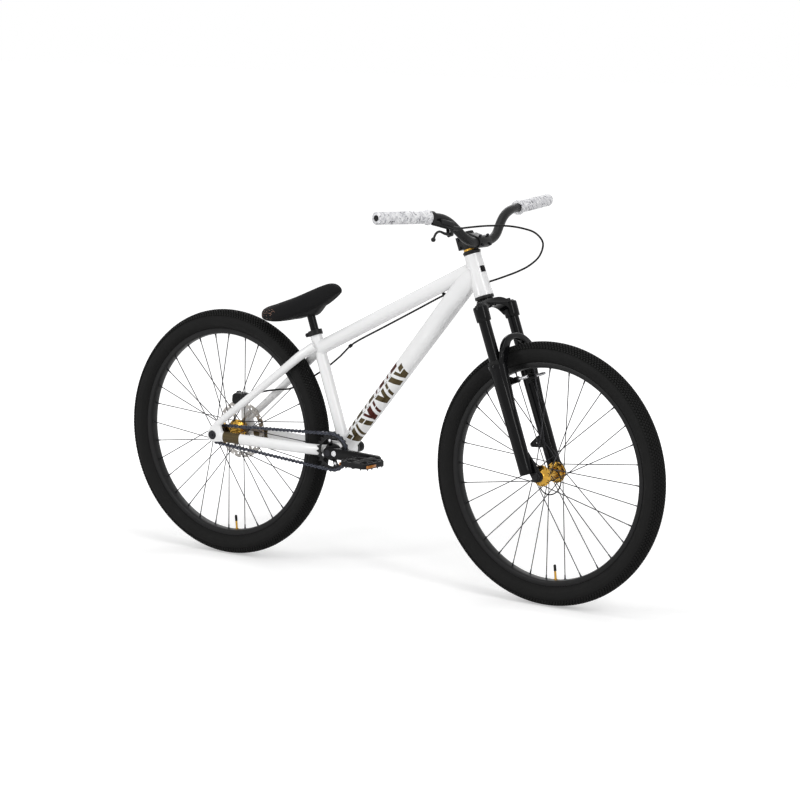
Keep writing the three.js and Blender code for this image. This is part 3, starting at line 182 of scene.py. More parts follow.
def lamp(name, place, aim, size, power):
    data = bpy.data.lights.new(name, "AREA")
    data.shape = "RECTANGLE"
    data.size, data.size_y = size
    data.energy = power
    lamp_object = bpy.data.objects.new(name, data)
    bpy.context.scene.collection.objects.link(lamp_object)
    lamp_object.location = place
    lamp_object.rotation_mode = "QUATERNION"
    lamp_object.rotation_quaternion = (Vector(place) - Vector(aim)).to_track_quat("Z", "Y")


lamp("key_lamp", (-1.3, -3.1, 2.0), (0, 0, 0.5), (0.5, 2.6), 46)
lamp("front_lamp", (3.3, -1.2, 2.0), (0, 0, 0.5), (0.5, 2.6), 42)
lamp("back_lamp", (-1.6, 2.8, 2.6), (0, 0, 0.5), (2.4, 1.2), 24)
lamp("top_lamp", (0.2, -0.4, 3.8), (0, 0, 0.5), (2.6, 1.8), 30)
print("four lamps and a white world")

# %% [markdown]
# ## The floor
# The floor is one white sheet. It is stage, not part of the bike. What camera, glossy and transmission
# rays see has some white of its own added, more of it further out, so the floor runs out to the white
# backdrop and keeps the shadows under the tyres.

# %% Floor
floor_mesh = bmesh.new()
bmesh.ops.create_grid(floor_mesh, x_segments=1, y_segments=1, size=30)
floor_data = bpy.data.meshes.new("floor")
floor_mesh.to_mesh(floor_data)
floor_mesh.free()
floor = bpy.data.objects.new("floor", floor_data)
bpy.context.scene.collection.objects.link(floor)
floor_paint = bpy.data.materials.new("floor_paint")
floor_paint.use_nodes = True
nodes = floor_paint.node_tree.nodes
links = floor_paint.node_tree.links
nodes.clear()
matt = nodes.new("ShaderNodeBsdfDiffuse")
matt.inputs["Color"].default_value = (0.8, 0.8, 0.8, 1)
lift = nodes.new("ShaderNodeEmission")
lift.inputs["Color"].default_value = (1, 1, 1, 1)
floor_place = nodes.new("ShaderNodeTexCoord")
how_far = nodes.new("ShaderNodeVectorMath")
how_far.operation = "LENGTH"
fade = nodes.new("ShaderNodeMapRange")
fade.interpolation_type = "SMOOTHSTEP"
fade.inputs["From Min"].default_value = 0.8
fade.inputs["From Max"].default_value = 1.9
fade.inputs["To Min"].default_value = 0.36
fade.inputs["To Max"].default_value = 0.75
both = nodes.new("ShaderNodeAddShader")
result = nodes.new("ShaderNodeOutputMaterial")
links.new(floor_place.outputs["Object"], how_far.inputs[0])
links.new(how_far.outputs["Value"], fade.inputs["Value"])
links.new(fade.outputs["Result"], lift.inputs["Strength"])
links.new(matt.outputs[0], both.inputs[0])
links.new(lift.outputs[0], both.inputs[1])
links.new(shown_to_camera(floor_paint.node_tree, matt.outputs[0], both.outputs[0]), result.inputs["Surface"])
floor_data.materials.append(floor_paint)
print("floor laid")

# %% [markdown]
# ## Modelling tools
# Most of a bicycle is turned, drawn or swept: hubs and cups are turned on a lathe, tubes are drawn and
# bent. So a few helpers cover nearly everything. `spun` turns a profile with the spin operator,
# `swept` pulls a ring along a line with the extrude operator, and `rod` and `plate` make straight parts.
# `finish_piece` welds the seams, points the faces outwards and hands the piece to its CAD body.
# `turned_piece` does both for a piece that is one turned profile.

# %% Turned parts
def spun(shape, profile, centre, axis, steps=48, closed=True):
    """Turns (radius, along) points round an axis."""
    side = axis.orthogonal().normalized()
    verts = [shape.verts.new(centre + side * radius + axis * along) for radius, along in profile]
    pairs = list(zip(verts, verts[1:])) + ([(verts[-1], verts[0])] if closed else [])
    edges = [shape.edges.new(pair) for pair in pairs]
    bmesh.ops.spin(
        shape, geom=verts + edges, cent=centre, axis=axis, angle=2 * pi, steps=steps, use_merge=True,
    )


def mirrored(profile):
    return [(radius, -along) for radius, along in reversed(profile)]


print("lathe ready")


# %% Straight parts
def facing(start, direction):
    return Matrix.Translation(start) @ direction.to_track_quat("Z", "Y").to_matrix().to_4x4()


def rod(shape, start, end, radius, end_radius=None, sides=24):
    run = end - start
    made = bmesh.ops.create_cone(
        shape, cap_ends=True, segments=sides, radius1=radius,
        radius2=radius if end_radius is None else end_radius,
        depth=run.length, matrix=facing((start + end) / 2, run),
    )
    return made["verts"]


def plate(shape, outline, depth, holes=()):
    """Fills a flat outline of points round its holes, and lifts it by the vector depth."""
    edges = []
    for loop in (outline, *holes):
        verts = [shape.verts.new(corner) for corner in loop]
        edges += [shape.edges.new(pair) for pair in zip(verts, verts[1:] + verts[:1])]
    filled = bmesh.ops.triangle_fill(shape, use_beauty=True, edges=edges)["geom"]
    faces = [part for part in filled if isinstance(part, bmesh.types.BMFace)]
    if not holes:
        faces = bmesh.ops.dissolve_faces(shape, faces=faces)["region"]
    bottom = {vert for face in faces for vert in face.verts}
    grown = bmesh.ops.extrude_face_region(shape, geom=faces)["geom"]
    moved = [part for part in grown if isinstance(part, bmesh.types.BMVert)]
    bmesh.ops.translate(shape, verts=moved, vec=depth)
    return list(bottom) + moved


def brick(shape, centre, size, turn=None):
    matrix = Matrix.Translation(centre) @ (turn or Matrix.Identity(4)) @ Matrix.Diagonal((*size, 1))
    return bmesh.ops.create_cube(shape, size=1, matrix=matrix)["verts"]


print("rod, plate and brick ready")


# %% Bent parts
def ring_frames(points, closed=False):
    """A turned frame at each point, which twists as little as it can."""
    last = len(points) - 1
    frames = []
    turn = None
    for i, place in enumerate(points):
        before = points[i - 1] if i > 0 or closed else place
        after = points[(i + 1) % len(points)] if i < last or closed else place
        along = (after - before).normalized()
        if turn is None:
            turn = along.to_track_quat("Z", "Y")
        else:
            turn = (turn @ Vector((0, 0, 1))).rotation_difference(along) @ turn
        frames.append(Matrix.Translation(place) @ turn.to_matrix().to_4x4())
    return frames


def swept(shape, points, radii, sides=16, closed=False):
    """Pulls a ring of the given radii along points. Returns the rings of vertices."""
    radii = radii if isinstance(radii, (list, tuple)) else [radii] * len(points)
    frames = ring_frames(points, closed)
    ring = bmesh.ops.create_circle(
        shape, cap_ends=False, segments=sides, radius=radii[0], matrix=frames[0],
    )["verts"]
    rings = [ring]
    edges = list({edge for vert in ring for edge in vert.link_edges})
    for i in range(1, len(points)):
        grown = bmesh.ops.extrude_edge_only(shape, edges=edges)["geom"]
        ring = [part for part in grown if isinstance(part, bmesh.types.BMVert)]
        edges = [part for part in grown if isinstance(part, bmesh.types.BMEdge)]
        stretch = Matrix.Scale(radii[i] / radii[i - 1], 4)
        step = frames[i] @ stretch @ frames[i - 1].inverted()
        bmesh.ops.transform(shape, matrix=step, verts=ring)
        rings.append(ring)
    if closed:
        first = [edge for edge in {e for v in rings[0] for e in v.link_edges} if edge.is_boundary]
        bmesh.ops.bridge_loops(shape, edges=first + edges)
    else:
        for end in (rings[0], rings[-1]):
            rim_edges = [edge for edge in {e for v in end for e in v.link_edges} if edge.is_boundary]
            bmesh.ops.edgeloop_fill(shape, edges=rim_edges)
    return rings


def smooth_line(points, steps=6):
    """A Catmull-Rom line through the points."""
    line = []
    for i in range(len(points) - 1):
        before = points[max(i - 1, 0)]
        start, end = points[i], points[i + 1]
        after = points[min(i + 2, len(points) - 1)]
        for k in range(steps):
            t = k / steps
            line.append(0.5 * (
                2 * start + (end - before) * t
                + (2 * before - 5 * start + 4 * end - after) * t ** 2
                + (3 * start - before - 3 * end + after) * t ** 3
            ))
    return line + [points[-1]]


print("sweep and smooth line ready")


# %% Outlines
def arc_points(centre, radius, start, end, steps):
    """Points on a circle seen from the side, as (x, z), from one angle in degrees to another."""
    angles = [radians(lerp(start, end, i / steps)) for i in range(steps + 1)]
    return [(centre[0] + radius * cos(a), centre[1] + radius * sin(a)) for a in angles]


def hull_outline(*circles, steps=40):
    """The outline of a belt round some circles, each (x, z, radius)."""
    spots = [Vector(spot) for x, z, radius in circles for spot in arc_points((x, z), radius, 0, 360, steps)]
    return [tuple(spots[i]) for i in geometry.convex_hull_2d(spots)]


def side_view(outline, y):
    return [Vector((x, y, z)) for x, z in outline]


def rounded(shape, width, segments=2, angle=35):
    """Bevels the edges sharper than an angle."""
    sharp = [
        edge for edge in shape.edges
        if len(edge.link_faces) == 2 and edge.calc_face_angle(0) > radians(angle)
    ]
    bmesh.ops.bevel(
        shape, geom=sharp, offset=width, segments=segments, profile=0.5,
        affect="EDGES", clamp_overlap=True, material=-1,
    )


def taken_into(shape, part):
    """Moves everything of one bmesh into another."""
    mesh = bpy.data.meshes.new("part")
    part.to_mesh(mesh)
    part.free()
    shape.from_mesh(mesh)
    bpy.data.meshes.remove(mesh)


def finish_piece(shape, name, body, paint, stands_for=(), sharp=35):
    """Makes the object, gives it its paint and lets it ride on its CAD body."""
    bmesh.ops.remove_doubles(shape, verts=shape.verts, dist=1e-6)
    bmesh.ops.recalc_face_normals(shape, faces=shape.faces)
    mesh = bpy.data.meshes.new(name)
    shape.to_mesh(mesh)
    shape.free()
    mesh.shade_smooth()
    mesh.set_sharp_from_angle(angle=radians(sharp))
    for layer in (paint if isinstance(paint, (list, tuple)) else [paint]):
        mesh.materials.append(layer)
    made = bpy.data.objects.new(name, mesh)
    bpy.context.scene.collection.objects.link(made)
    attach(made, body)
    if stands_for:
        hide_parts(*stands_for)
    print(name, len(mesh.polygons), "faces")
    return made


def turned_piece(
    name, profile, centre, axis, body, paint, stands_for=(), steps=48, closed=True, sharp=35,
):
    """A piece that is nothing but one turned profile."""
    shape = bmesh.new()
    spun(shape, profile, centre, axis, steps, closed)
    finish_piece(shape, name, body, paint, stands_for, sharp)


print("outlines and finishing ready")

# %% [markdown]
# ## Finishes
# A real surface is never one flat colour. Paint varies a little in shade and gloss, and castings,
# rubber and anodised metal have a grain. `finish` mixes two close colours by a soft noise, lets the
# same noise move the roughness, and adds a much finer noise as bump. Every number that is the same
# all over is set on the shader itself.

# %% A finish with grain
def finish(
    name, colour, second, metal=0.0, rough=(0.3, 0.4), patch=40, grain=900, bump=0.1, coat=0.0, sheen=0.0,
    shine=0.5,
):
    made = bpy.data.materials.new(name)
    made.use_nodes = True
    nodes, links = made.node_tree.nodes, made.node_tree.links
    shader = nodes["Principled BSDF"]
    shader.inputs["Metallic"].default_value = metal
    shader.inputs["Coat Weight"].default_value = coat
    shader.inputs["Coat Roughness"].default_value = 0.06
    shader.inputs["Sheen Weight"].default_value = sheen
    shader.inputs["Specular IOR Level"].default_value = shine
    place = nodes.new("ShaderNodeTexCoord")
    patches = nodes.new("ShaderNodeTexNoise")
    patches.inputs["Scale"].default_value = patch
    patches.inputs["Detail"].default_value = 4
    links.new(place.outputs["Object"], patches.inputs["Vector"])
    colours = nodes.new("ShaderNodeMix")
    colours.data_type = "RGBA"
    colours.inputs["A"].default_value = (*colour, 1)
    colours.inputs["B"].default_value = (*second, 1)
    links.new(patches.outputs["Fac"], colours.inputs["Factor"])
    links.new(colours.outputs["Result"], shader.inputs["Base Color"])
    gloss = nodes.new("ShaderNodeMapRange")
    gloss.inputs["From Min"].default_value = 0.3
    gloss.inputs["From Max"].default_value = 0.7
    gloss.inputs["To Min"].default_value = rough[0]
    gloss.inputs["To Max"].default_value = rough[1]
    links.new(patches.outputs["Fac"], gloss.inputs["Value"])
    links.new(gloss.outputs["Result"], shader.inputs["Roughness"])
    specks = nodes.new("ShaderNodeTexNoise")
    specks.inputs["Scale"].default_value = grain
    specks.inputs["Detail"].default_value = 3
    links.new(place.outputs["Object"], specks.inputs["Vector"])
    bumps = nodes.new("ShaderNodeBump")
    bumps.inputs["Strength"].default_value = bump
    bumps.inputs["Distance"].default_value = 0.0004
    links.new(specks.outputs["Fac"], bumps.inputs["Height"])
    links.new(bumps.outputs["Normal"], shader.inputs["Normal"])
    return made


white_paint = finish(
    "white_paint", (0.88, 0.88, 0.88), (0.84, 0.84, 0.845), 0, (0.18, 0.26), 12, 160, 0.012, coat=0.3,
)
olive_band = finish(
    "olive_band", (0.085, 0.062, 0.026), (0.048, 0.034, 0.013), 0.5, (0.22, 0.32), 60, 500, 0.03, coat=0.2,
    shine=0.10,
)
red_band = finish(
    "red_band", (0.085, 0.020, 0.014), (0.045, 0.010, 0.008), 0.2, (0.25, 0.35), 60, 500, 0.03, shine=0.10,
)
grey_band = finish("grey_band", (0.11, 0.11, 0.115), (0.08, 0.08, 0.085), 0, (0.3, 0.4), 60, 500, 0.03)
gloss_black = finish(
    "gloss_black", (0.0035, 0.0035, 0.004), (0.006, 0.006, 0.0065), 0, (0.10, 0.16), 25, 600, 0.02,
    shine=0.11,
)
black_alloy = finish(
    "black_alloy", (0.008, 0.008, 0.0084), (0.015, 0.015, 0.0154), 0, (0.32, 0.44), 60, 700, 0.08,
    shine=0.15,
)
gold_alloy = finish("gold_alloy", (0.60, 0.35, 0.065), (0.42, 0.23, 0.035), 1.0, (0.18, 0.3), 90, 500, 0.05)
bright_steel = finish(
    "bright_steel", (0.62, 0.62, 0.63), (0.50, 0.50, 0.52), 1.0, (0.2, 0.34), 120, 1500, 0.1,
)
dark_steel = finish(
    "dark_steel", (0.030, 0.030, 0.034), (0.014, 0.014, 0.017), 0.6, (0.28, 0.42), 200, 1500, 0.15,
    shine=0.2,
)
black_plastic = finish(
    "black_plastic", (0.008, 0.008, 0.0085), (0.014, 0.014, 0.0145), 0, (0.42, 0.56), 80, 1800, 0.3,
    shine=0.12,
)
black_rubber = finish(
    "black_rubber", (0.008, 0.008, 0.008), (0.014, 0.014, 0.014), 0, (0.5, 0.65), 80, 500, 0.05, shine=0.12,
)
tyre_rubber = finish(
    "tyre_rubber", (0.0075, 0.0075, 0.0075), (0.013, 0.013, 0.0128), 0, (0.62, 0.8), 55, 1300, 0.35,
    shine=0.1,
)
print("twelve plain finishes")

# %% [markdown]
# ## Tyres
# A dirt tyre is a rubber casing covered in rows of small knobs. The casing is a turned section.
# One pitch of the tread, eleven tapered knobs, is modelled once and copied round the wheel with spin,
# which keeps every knob a closed block of a few faces.

# %% Casing and tread
section_centre, casing_high, casing_wide = 0.308, 0.0257, 0.0280
middle_knob, edge_knob = (0.0062, 0.0046, 0.0038), (0.0064, 0.0056, 0.0046)


def casing_point(angle, thickness=0.0):
    """(radius, along) on the casing, with the angle in degrees from the tread's middle."""
    high, wide = casing_high - thickness, casing_wide - thickness
    return section_centre + high * cos(radians(angle)), wide * sin(radians(angle))


def knob(shape, centre, row, turn, size):
    radial = Vector((cos(turn), 0, sin(turn)))
    outward = radial * cos(radians(row)) + across * sin(radians(row))
    sideways = across * cos(radians(row)) - radial * sin(radians(row))
    radius, along = casing_point(row)
    place = centre + radial * radius + across * along + outward * (size[2] / 2 - 0.001)
    axes = Matrix((sideways.cross(outward), sideways, outward)).transposed()
    verts = brick(shape, place, size, axes.to_4x4())
    top = [vert for vert in verts if (vert.co - place).dot(outward) > 0]
    narrow = Matrix.Translation(place) @ Matrix.Scale(0.82, 4) @ Matrix.Translation(-place)
    bmesh.ops.transform(shape, matrix=narrow, verts=top)
    bmesh.ops.translate(shape, verts=top, vec=outward * size[2] * 0.09)


def tyre(name, node, body):
    centre = middle_of(node)
    shape = bmesh.new()
    ridges = {80: 0.0004, 85: 0.0004, 110: 0.0005}
    outside = []
    for angle in range(-125, 126, 5):
        radius, along = casing_point(angle, -ridges.get(abs(angle), 0))
        outside.append((radius, along))
    inside = [casing_point(angle, 0.003) for angle in range(125, -126, -25)]
    bead = [(0.2868, 0.0160), (0.2850, 0.0134), (0.2793, 0.0134), (0.2793, 0.0105), (0.2855, 0.0105)]
    spun(shape, outside + bead + inside + mirrored(bead), centre, across, 120)
    pitches = 236
    half = pi / pitches
    tread = bmesh.new()
    for row in range(-55, 56, 11):
        turn = 0 if row % 22 == 0 else half
        knob(tread, centre, row, turn, middle_knob if abs(row) < 50 else edge_knob)
    bmesh.ops.spin(
        tread, geom=tread.verts[:] + tread.edges[:] + tread.faces[:], cent=centre, axis=across,
        angle=2 * pi * (pitches - 1) / pitches, steps=pitches - 1, use_duplicate=True,
    )
    taken_into(shape, tread)
    finish_piece(shape, name, body, tyre_rubber, [node])


tyre("tyre_front", "front_tyre", "front_wheel")
tyre("tyre_rear", "rear_tyre", "rear_wheel")

# %% [markdown]
# ## Rims and spokes
# Each rim is a shallow black box with hooked edges that hold the tyre. Thirty-two spokes cross three
# times on their way from the hub's flanges. A spoke is a bent wire with a head at the elbow, and it
# ends in a nipple in the rim, so it is swept along its own short line.

# %% Rims and valves
rim_inner = 0.2695
rim_half = [
    (0.2695, 0.0), (0.2697, 0.0050), (0.2704, 0.0090), (0.2716, 0.0125), (0.2733, 0.0148), (0.2755, 0.0155),
    (0.2835, 0.0155), (0.2848, 0.0151), (0.2850, 0.0144), (0.2844, 0.0137), (0.2828, 0.0140),
    (0.2790, 0.0140),
    (0.2785, 0.0110), (0.2762, 0.0080), (0.2760, 0.0),
]


def rim(name, node, body):
    other_half = [(radius, -along) for radius, along in rim_half[-2:0:-1]]
    turned_piece(
        name, rim_half + other_half, middle_of(node), across, body, black_alloy, [node],
        steps=128, sharp=50,
    )


def valve(name, centre, body, turn):
    """A brass stem with a nut at the rim, and a black plastic cap on it."""
    inward = Vector((-cos(turn), 0, -sin(turn)))
    foot = centre - inward * 0.2697
    stem = [(0, -0.002), (0.0045, -0.002), (0.0045, 0.0022), (0.003, 0.0028), (0.003, 0.024), (0, 0.024)]
    turned_piece(name + "_stem", stem, foot, inward, body, gold_alloy, steps=16, closed=False)
    hood = [(0, 0.022), (0.0036, 0.022), (0.0036, 0.036), (0.0026, 0.0385), (0, 0.039)]
    turned_piece(
        name + "_cap", hood, foot, inward, body, black_plastic, steps=12, closed=False,
    )


rim("rim_front", "front_rim", "front_wheel")
rim("rim_rear", "rear_rim", "rear_wheel")
valve_turn = radians(-84.4)
valve("valve_front", front_axle, "front_wheel", valve_turn)
valve("valve_rear", rear_axle, "rear_wheel", valve_turn)


# %% Spokes
def spoke_set(name, node, body, hub_centre, side, flange_at, hole_radius):
    shape = bmesh.new()
    spoke_radius, cross = 0.00125, radians(67.5)
    for i in range(16):
        turn = 2 * pi * i / 16 + (radians(11.25) if side > 0 else 0)
        far = turn + (-cross if i % 2 else cross)
        flange = hub_centre + Vector((hole_radius * cos(turn), side * flange_at, hole_radius * sin(turn)))
        tip = hub_centre + Vector((rim_inner * cos(far), side * 0.003, rim_inner * sin(far)))
        out = across * side * (1 if i % 2 else -1)
        run = (tip - flange).normalized()
        bend = flange - out * 0.0022
        swept(
            shape,
            [flange + out * 0.0026, bend + out * 0.0008, bend + run * 0.0012, bend + run * 0.004, tip],
            spoke_radius, 8,
        )
        rod(shape, flange + out * 0.0019, flange + out * 0.0031, 0.002, 0.0014, 10)
        inward = (bend - tip).normalized()
        rod(shape, tip, tip + inward * 0.011, 0.0022, 0.0017, 8)
        rod(shape, tip - inward * 0.001, tip + inward * 0.002, 0.0032, 0.0024, 10)
    finish_piece(shape, name, body, dark_steel, [node])


spoke_set("spokes_front_right", "front_spokes_right", "front_wheel", front_axle, -1, 0.033, 0.0225)
spoke_set("spokes_front_left", "front_spokes_left", "front_wheel", front_axle, 1, 0.033, 0.0225)
spoke_set("spokes_rear_right", "rear_spokes_right", "rear_wheel", rear_axle, -1, 0.032, 0.025)
spoke_set("spokes_rear_left", "rear_spokes_left", "rear_wheel", rear_axle, 1, 0.032, 0.025)

# %% [markdown]
# ## Hubs and brake disc
# The hubs are turned from aluminium and anodised gold, with a slim waist and a rounded flange for each
# row of spokes. The disc is a stamped steel ring on six arms. Its outline is filled round its holes
# and given its thickness, as it is cut from sheet.

# %% Hubs
def hub(name, node, body, centre, profile):
    turned_piece(name, profile, centre, across, body, gold_alloy, [node], steps=64, sharp=30)


front_right = [
    (0.0053, -0.0477), (0.0090, -0.0477), (0.0100, -0.0467), (0.0104, -0.0420), (0.0130, -0.0385),
    (0.0185, -0.0360),
    (0.0262, -0.0350), (0.0270, -0.0343), (0.0270, -0.0322), (0.0262, -0.0315), (0.0190, -0.0305),
    (0.0150, -0.0285),
    (0.0134, -0.0240), (0.0130, -0.0160), (0.0130, -0.0060),
]
hub("hub_front", "front_hub", "front_wheel", front_axle, front_right + mirrored(front_right))
rear_profile = [
    (0.0053, -0.0327), (0.0285, -0.0335), (0.0295, -0.0330), (0.0295, -0.0312), (0.0287, -0.0304),
    (0.0210, -0.0295),
    (0.0165, -0.0275), (0.0145, -0.0235), (0.0137, -0.0160), (0.0135, 0.0), (0.0137, 0.0160),
    (0.0145, 0.0235),
    (0.0165, 0.0270), (0.0210, 0.0290), (0.0287, 0.0302), (0.0295, 0.0308), (0.0295, 0.0330),
    (0.0286, 0.0338),
    (0.0235, 0.0350), (0.0220, 0.0365), (0.0220, 0.0500), (0.0212, 0.0507), (0.0053, 0.0507),
]
hub("hub_rear", "rear_hub", "rear_wheel", rear_axle, rear_profile)


# %% Brake disc
def on_circle(centre, radius, turn, y):
    """The point at one angle on a circle round an axle, seen from the side."""
    return Vector((centre.x + radius * cos(turn), y, centre.z + radius * sin(turn)))


def ring_points(centre, radius, y, count, start=0.0):
    return [on_circle(centre, radius, start + 2 * pi * i / count, y) for i in range(count)]


disc_shape = bmesh.new()
disc_y, disc_thick = 0.0511, across * 0.0016
disc_bolt_circle, disc_bolt_turn = 0.0210, 0.26
vents = []
for i in range(36):
    turn = 2 * pi * i / 36
    radius = 0.0755 if i % 2 else 0.0690
    vents.append(on_circle(rear_axle, radius, turn, disc_y))
vent_holes = [ring_points(vent, 0.0031, disc_y, 10) for vent in vents]
outer_edge = []
for i in range(144):
    turn = 2 * pi * i / 144
    radius = 0.0800 - 0.0007 * (1 + sin(12 * turn))
    outer_edge.append(on_circle(rear_axle, radius, turn, disc_y))
plate(disc_shape, outer_edge, disc_thick, [ring_points(rear_axle, 0.0640, disc_y, 72), *vent_holes])
bolt_spots = ring_points(rear_axle, disc_bolt_circle, disc_y, 6, disc_bolt_turn)
bolt_holes = [ring_points(spot, 0.0026, disc_y, 10) for spot in bolt_spots]
plate(
    disc_shape, ring_points(rear_axle, 0.0250, disc_y, 48), disc_thick,
    [ring_points(rear_axle, 0.0165, disc_y, 40), *bolt_holes],
)
disc_arm = [(0.0235, 0.20), (0.0400, 0.04), (0.0655, -0.055), (0.0655, 0.085), (0.0420, 0.22), (0.0235, 0.52)]
for i in range(6):
    turn = 2 * pi * i / 6
    arm = [on_circle(rear_axle, radius, turn + lead, disc_y) for radius, lead in disc_arm]
    plate(disc_shape, arm, disc_thick)
print("disc with", len(vent_holes), "vents")


# %% Brake disc's steel
disc_steel = finish("disc_steel", (0.42, 0.40, 0.38), (0.30, 0.285, 0.27), 1.0, (0.26, 0.38), 150, 1500, 0.1)
nodes, links = disc_steel.node_tree.nodes, disc_steel.node_tree.links
centred = nodes.new("ShaderNodeMapping")
centred.inputs["Location"].default_value = -rear_axle
rings = nodes.new("ShaderNodeTexWave")
rings.wave_type = "RINGS"
rings.rings_direction = "Y"
rings.inputs["Scale"].default_value = 260
rings.inputs["Distortion"].default_value = 0.6
links.new(nodes["Texture Coordinate"].outputs["Object"], centred.inputs["Vector"])
links.new(centred.outputs["Vector"], rings.inputs["Vector"])
links.new(rings.outputs["Fac"], nodes["Bump"].inputs["Height"])
finish_piece(disc_shape, "brake_disc", "rear_wheel", disc_steel, ["brake_rotor"])
bolts = bmesh.new()
for spot in ring_points(rear_axle, disc_bolt_circle, 0.0525, 6, disc_bolt_turn):
    head = [(0, 0.0020), (0.0030, 0.0020), (0.0042, 0.0010), (0.0042, -0.0030), (0, -0.0030)]
    spun(bolts, head, spot, across, 16, closed=False)
finish_piece(bolts, "disc_bolts", "rear_wheel", dark_steel)
print("brake disc on six bolts")

# %% [markdown]
# ## Chain drive
# Chainring and cog have teeth that fit the chain's 12.7 mm pitch. The chain is made link by link along
# the belt round both: rollers on pins, with narrow and wide pairs of plates in turn. It belongs to the
# frame, because a chain runs in place while the wheels turn.

# %% The chain's line
chain_y = -0.0506
ring_radius, cog_radius = 0.0487, 0.0245
run = Vector((bracket.x - rear_axle.x, bracket.z - rear_axle.z))
heading, lean = atan2(run.y, run.x), asin((ring_radius - cog_radius) / run.length)
top_turn, bottom_turn = heading + pi / 2 + lean, heading - pi / 2 - lean
straight = run.length * cos(lean)
ring_wrap, cog_wrap = pi + 2 * lean, pi - 2 * lean
chain_length = 2 * straight + ring_radius * ring_wrap + cog_radius * cog_wrap
links_in_chain = round(chain_length / 0.0127)


def chain_point(distance):
    """A point on the chain's line, from the chainring's top, forward and round."""
    distance %= chain_length
    if distance < ring_radius * ring_wrap:
        turn = top_turn - distance / ring_radius
        return on_circle(bracket, ring_radius, turn, chain_y)
    distance -= ring_radius * ring_wrap
    ring_low = on_circle(bracket, ring_radius, bottom_turn, chain_y)
    cog_low = on_circle(rear_axle, cog_radius, bottom_turn, chain_y)
    if distance < straight:
        return ring_low.lerp(cog_low, distance / straight)
    distance -= straight
    if distance < cog_radius * cog_wrap:
        turn = bottom_turn - distance / cog_radius
        return on_circle(rear_axle, cog_radius, turn, chain_y)
    distance -= cog_radius * cog_wrap
    ring_high = on_circle(bracket, ring_radius, top_turn, chain_y)
    cog_high = on_circle(rear_axle, cog_radius, top_turn, chain_y)
    return cog_high.lerp(ring_high, distance / straight)


pins = [chain_point(chain_length * (i + 0.5) / links_in_chain) for i in range(links_in_chain)]
print(links_in_chain, "links of", round(chain_length / links_in_chain * 1000, 2), "mm")


# %% Chain
def link_outline(a, b, y):
    """The waisted outline of one side plate between two pins."""
    along = (b - a).normalized()
    rise = Vector((-along.z, 0, along.x))
    shape_points = [
        (-0.0046, 0), (-0.0033, 0.0033), (0, 0.0046), (0.0036, 0.0030), (0.0064, 0.0020), (0.0091, 0.0030),
        (0.0127, 0.0046), (0.0160, 0.0033), (0.0173, 0),
    ]
    loop = shape_points + [(x, -z) for x, z in shape_points[-2:0:-1]]
    return [Vector((a.x, y, a.z)) + along * x + rise * z for x, z in loop]


chain_shape = bmesh.new()
for i, pin in enumerate(pins):
    rod(chain_shape, pin - across * 0.0039, pin + across * 0.0039, 0.0019, sides=8)
    rod(chain_shape, pin - across * 0.0017, pin + across * 0.0017, 0.0037, sides=10)
    near, far = (0.0018, 0.0010) if i % 2 else (0.0030, 0.0009)
    for side in (-1, 1):
        y = chain_y + side * near
        plate(chain_shape, link_outline(pin, pins[(i + 1) % len(pins)], y), across * side * far)
chain_steel = finish(
    "chain_steel", (0.075, 0.080, 0.100), (0.030, 0.032, 0.040), 0.8, (0.24, 0.36), 160, 900, 0.05,
    shine=0.3,
)
finish_piece(chain_shape, "chain_links", "frame", chain_steel, ["chain"])


# %% Chainring and cog
def teeth(centre, count, low, high, phase, y):
    """The outline of a toothed wheel, with a tooth's flanks as (share of the pitch, radius)."""
    flanks = [
        (-0.36, low + 0.0008), (-0.25, low + 0.003), (-0.08, high), (0.08, high), (0.25, low + 0.003),
        (0.36, low + 0.0008), (0.5, low),
    ]
    loop = []
    for i in range(count):
        for share, radius in flanks:
            loop.append(on_circle(centre, radius, phase + (i + share) * 2 * pi / count, y))
    return loop


def pin_phase(centre, radius, count):
    """Turns the teeth so that their gaps meet the chain's pins."""
    on_it = min(
        pins,
        key=lambda pin: abs((Vector((pin.x, 0, pin.z)) - Vector((centre.x, 0, centre.z))).length - radius),
    )
    return atan2(on_it.z - centre.z, on_it.x - centre.x) + pi / count


ring_shape = bmesh.new()
ring_thick, spider_bolt_circle = 0.0028, 0.031
ring_y = chain_y - 0.0014
ring_teeth = teeth(bracket, 24, 0.0448, 0.0520, pin_phase(bracket, ring_radius, 24), ring_y)
plate(ring_shape, ring_teeth, across * ring_thick, [ring_points(bracket, 0.0385, ring_y, 72)])
spider_turns = [radians(angle) for angle in (105, 200, 290, 15)]
plate(
    ring_shape, ring_points(bracket, 0.0240, ring_y, 48), across * ring_thick,
    [ring_points(bracket, 0.0098, ring_y, 24)],
)
spider_arm = [(0.018, 0.42), (0.026, 0.24), (0.034, 0.20), (0.0395, 0.26)]
spider_arm += [(radius, -lead) for radius, lead in reversed(spider_arm)]
for turn in spider_turns:
    arm = [on_circle(bracket, radius, turn + lead, ring_y) for radius, lead in spider_arm]
    plate(ring_shape, arm, across * ring_thick)
rounded(ring_shape, 0.0003, 1, 60)
finish_piece(ring_shape, "chainring_plate", "crankset", black_alloy, ["chainring"])
ring_bolts = bmesh.new()
for turn in spider_turns:
    spot = on_circle(bracket, spider_bolt_circle, turn, ring_y)
    spun(
        ring_bolts, [(0, -0.0012), (0.0032, -0.0012), (0.0042, -0.0004), (0.0042, 0.004), (0, 0.004)], spot,
        across, 16, closed=False,
    )
finish_piece(ring_bolts, "chainring_bolts", "crankset", bright_steel)

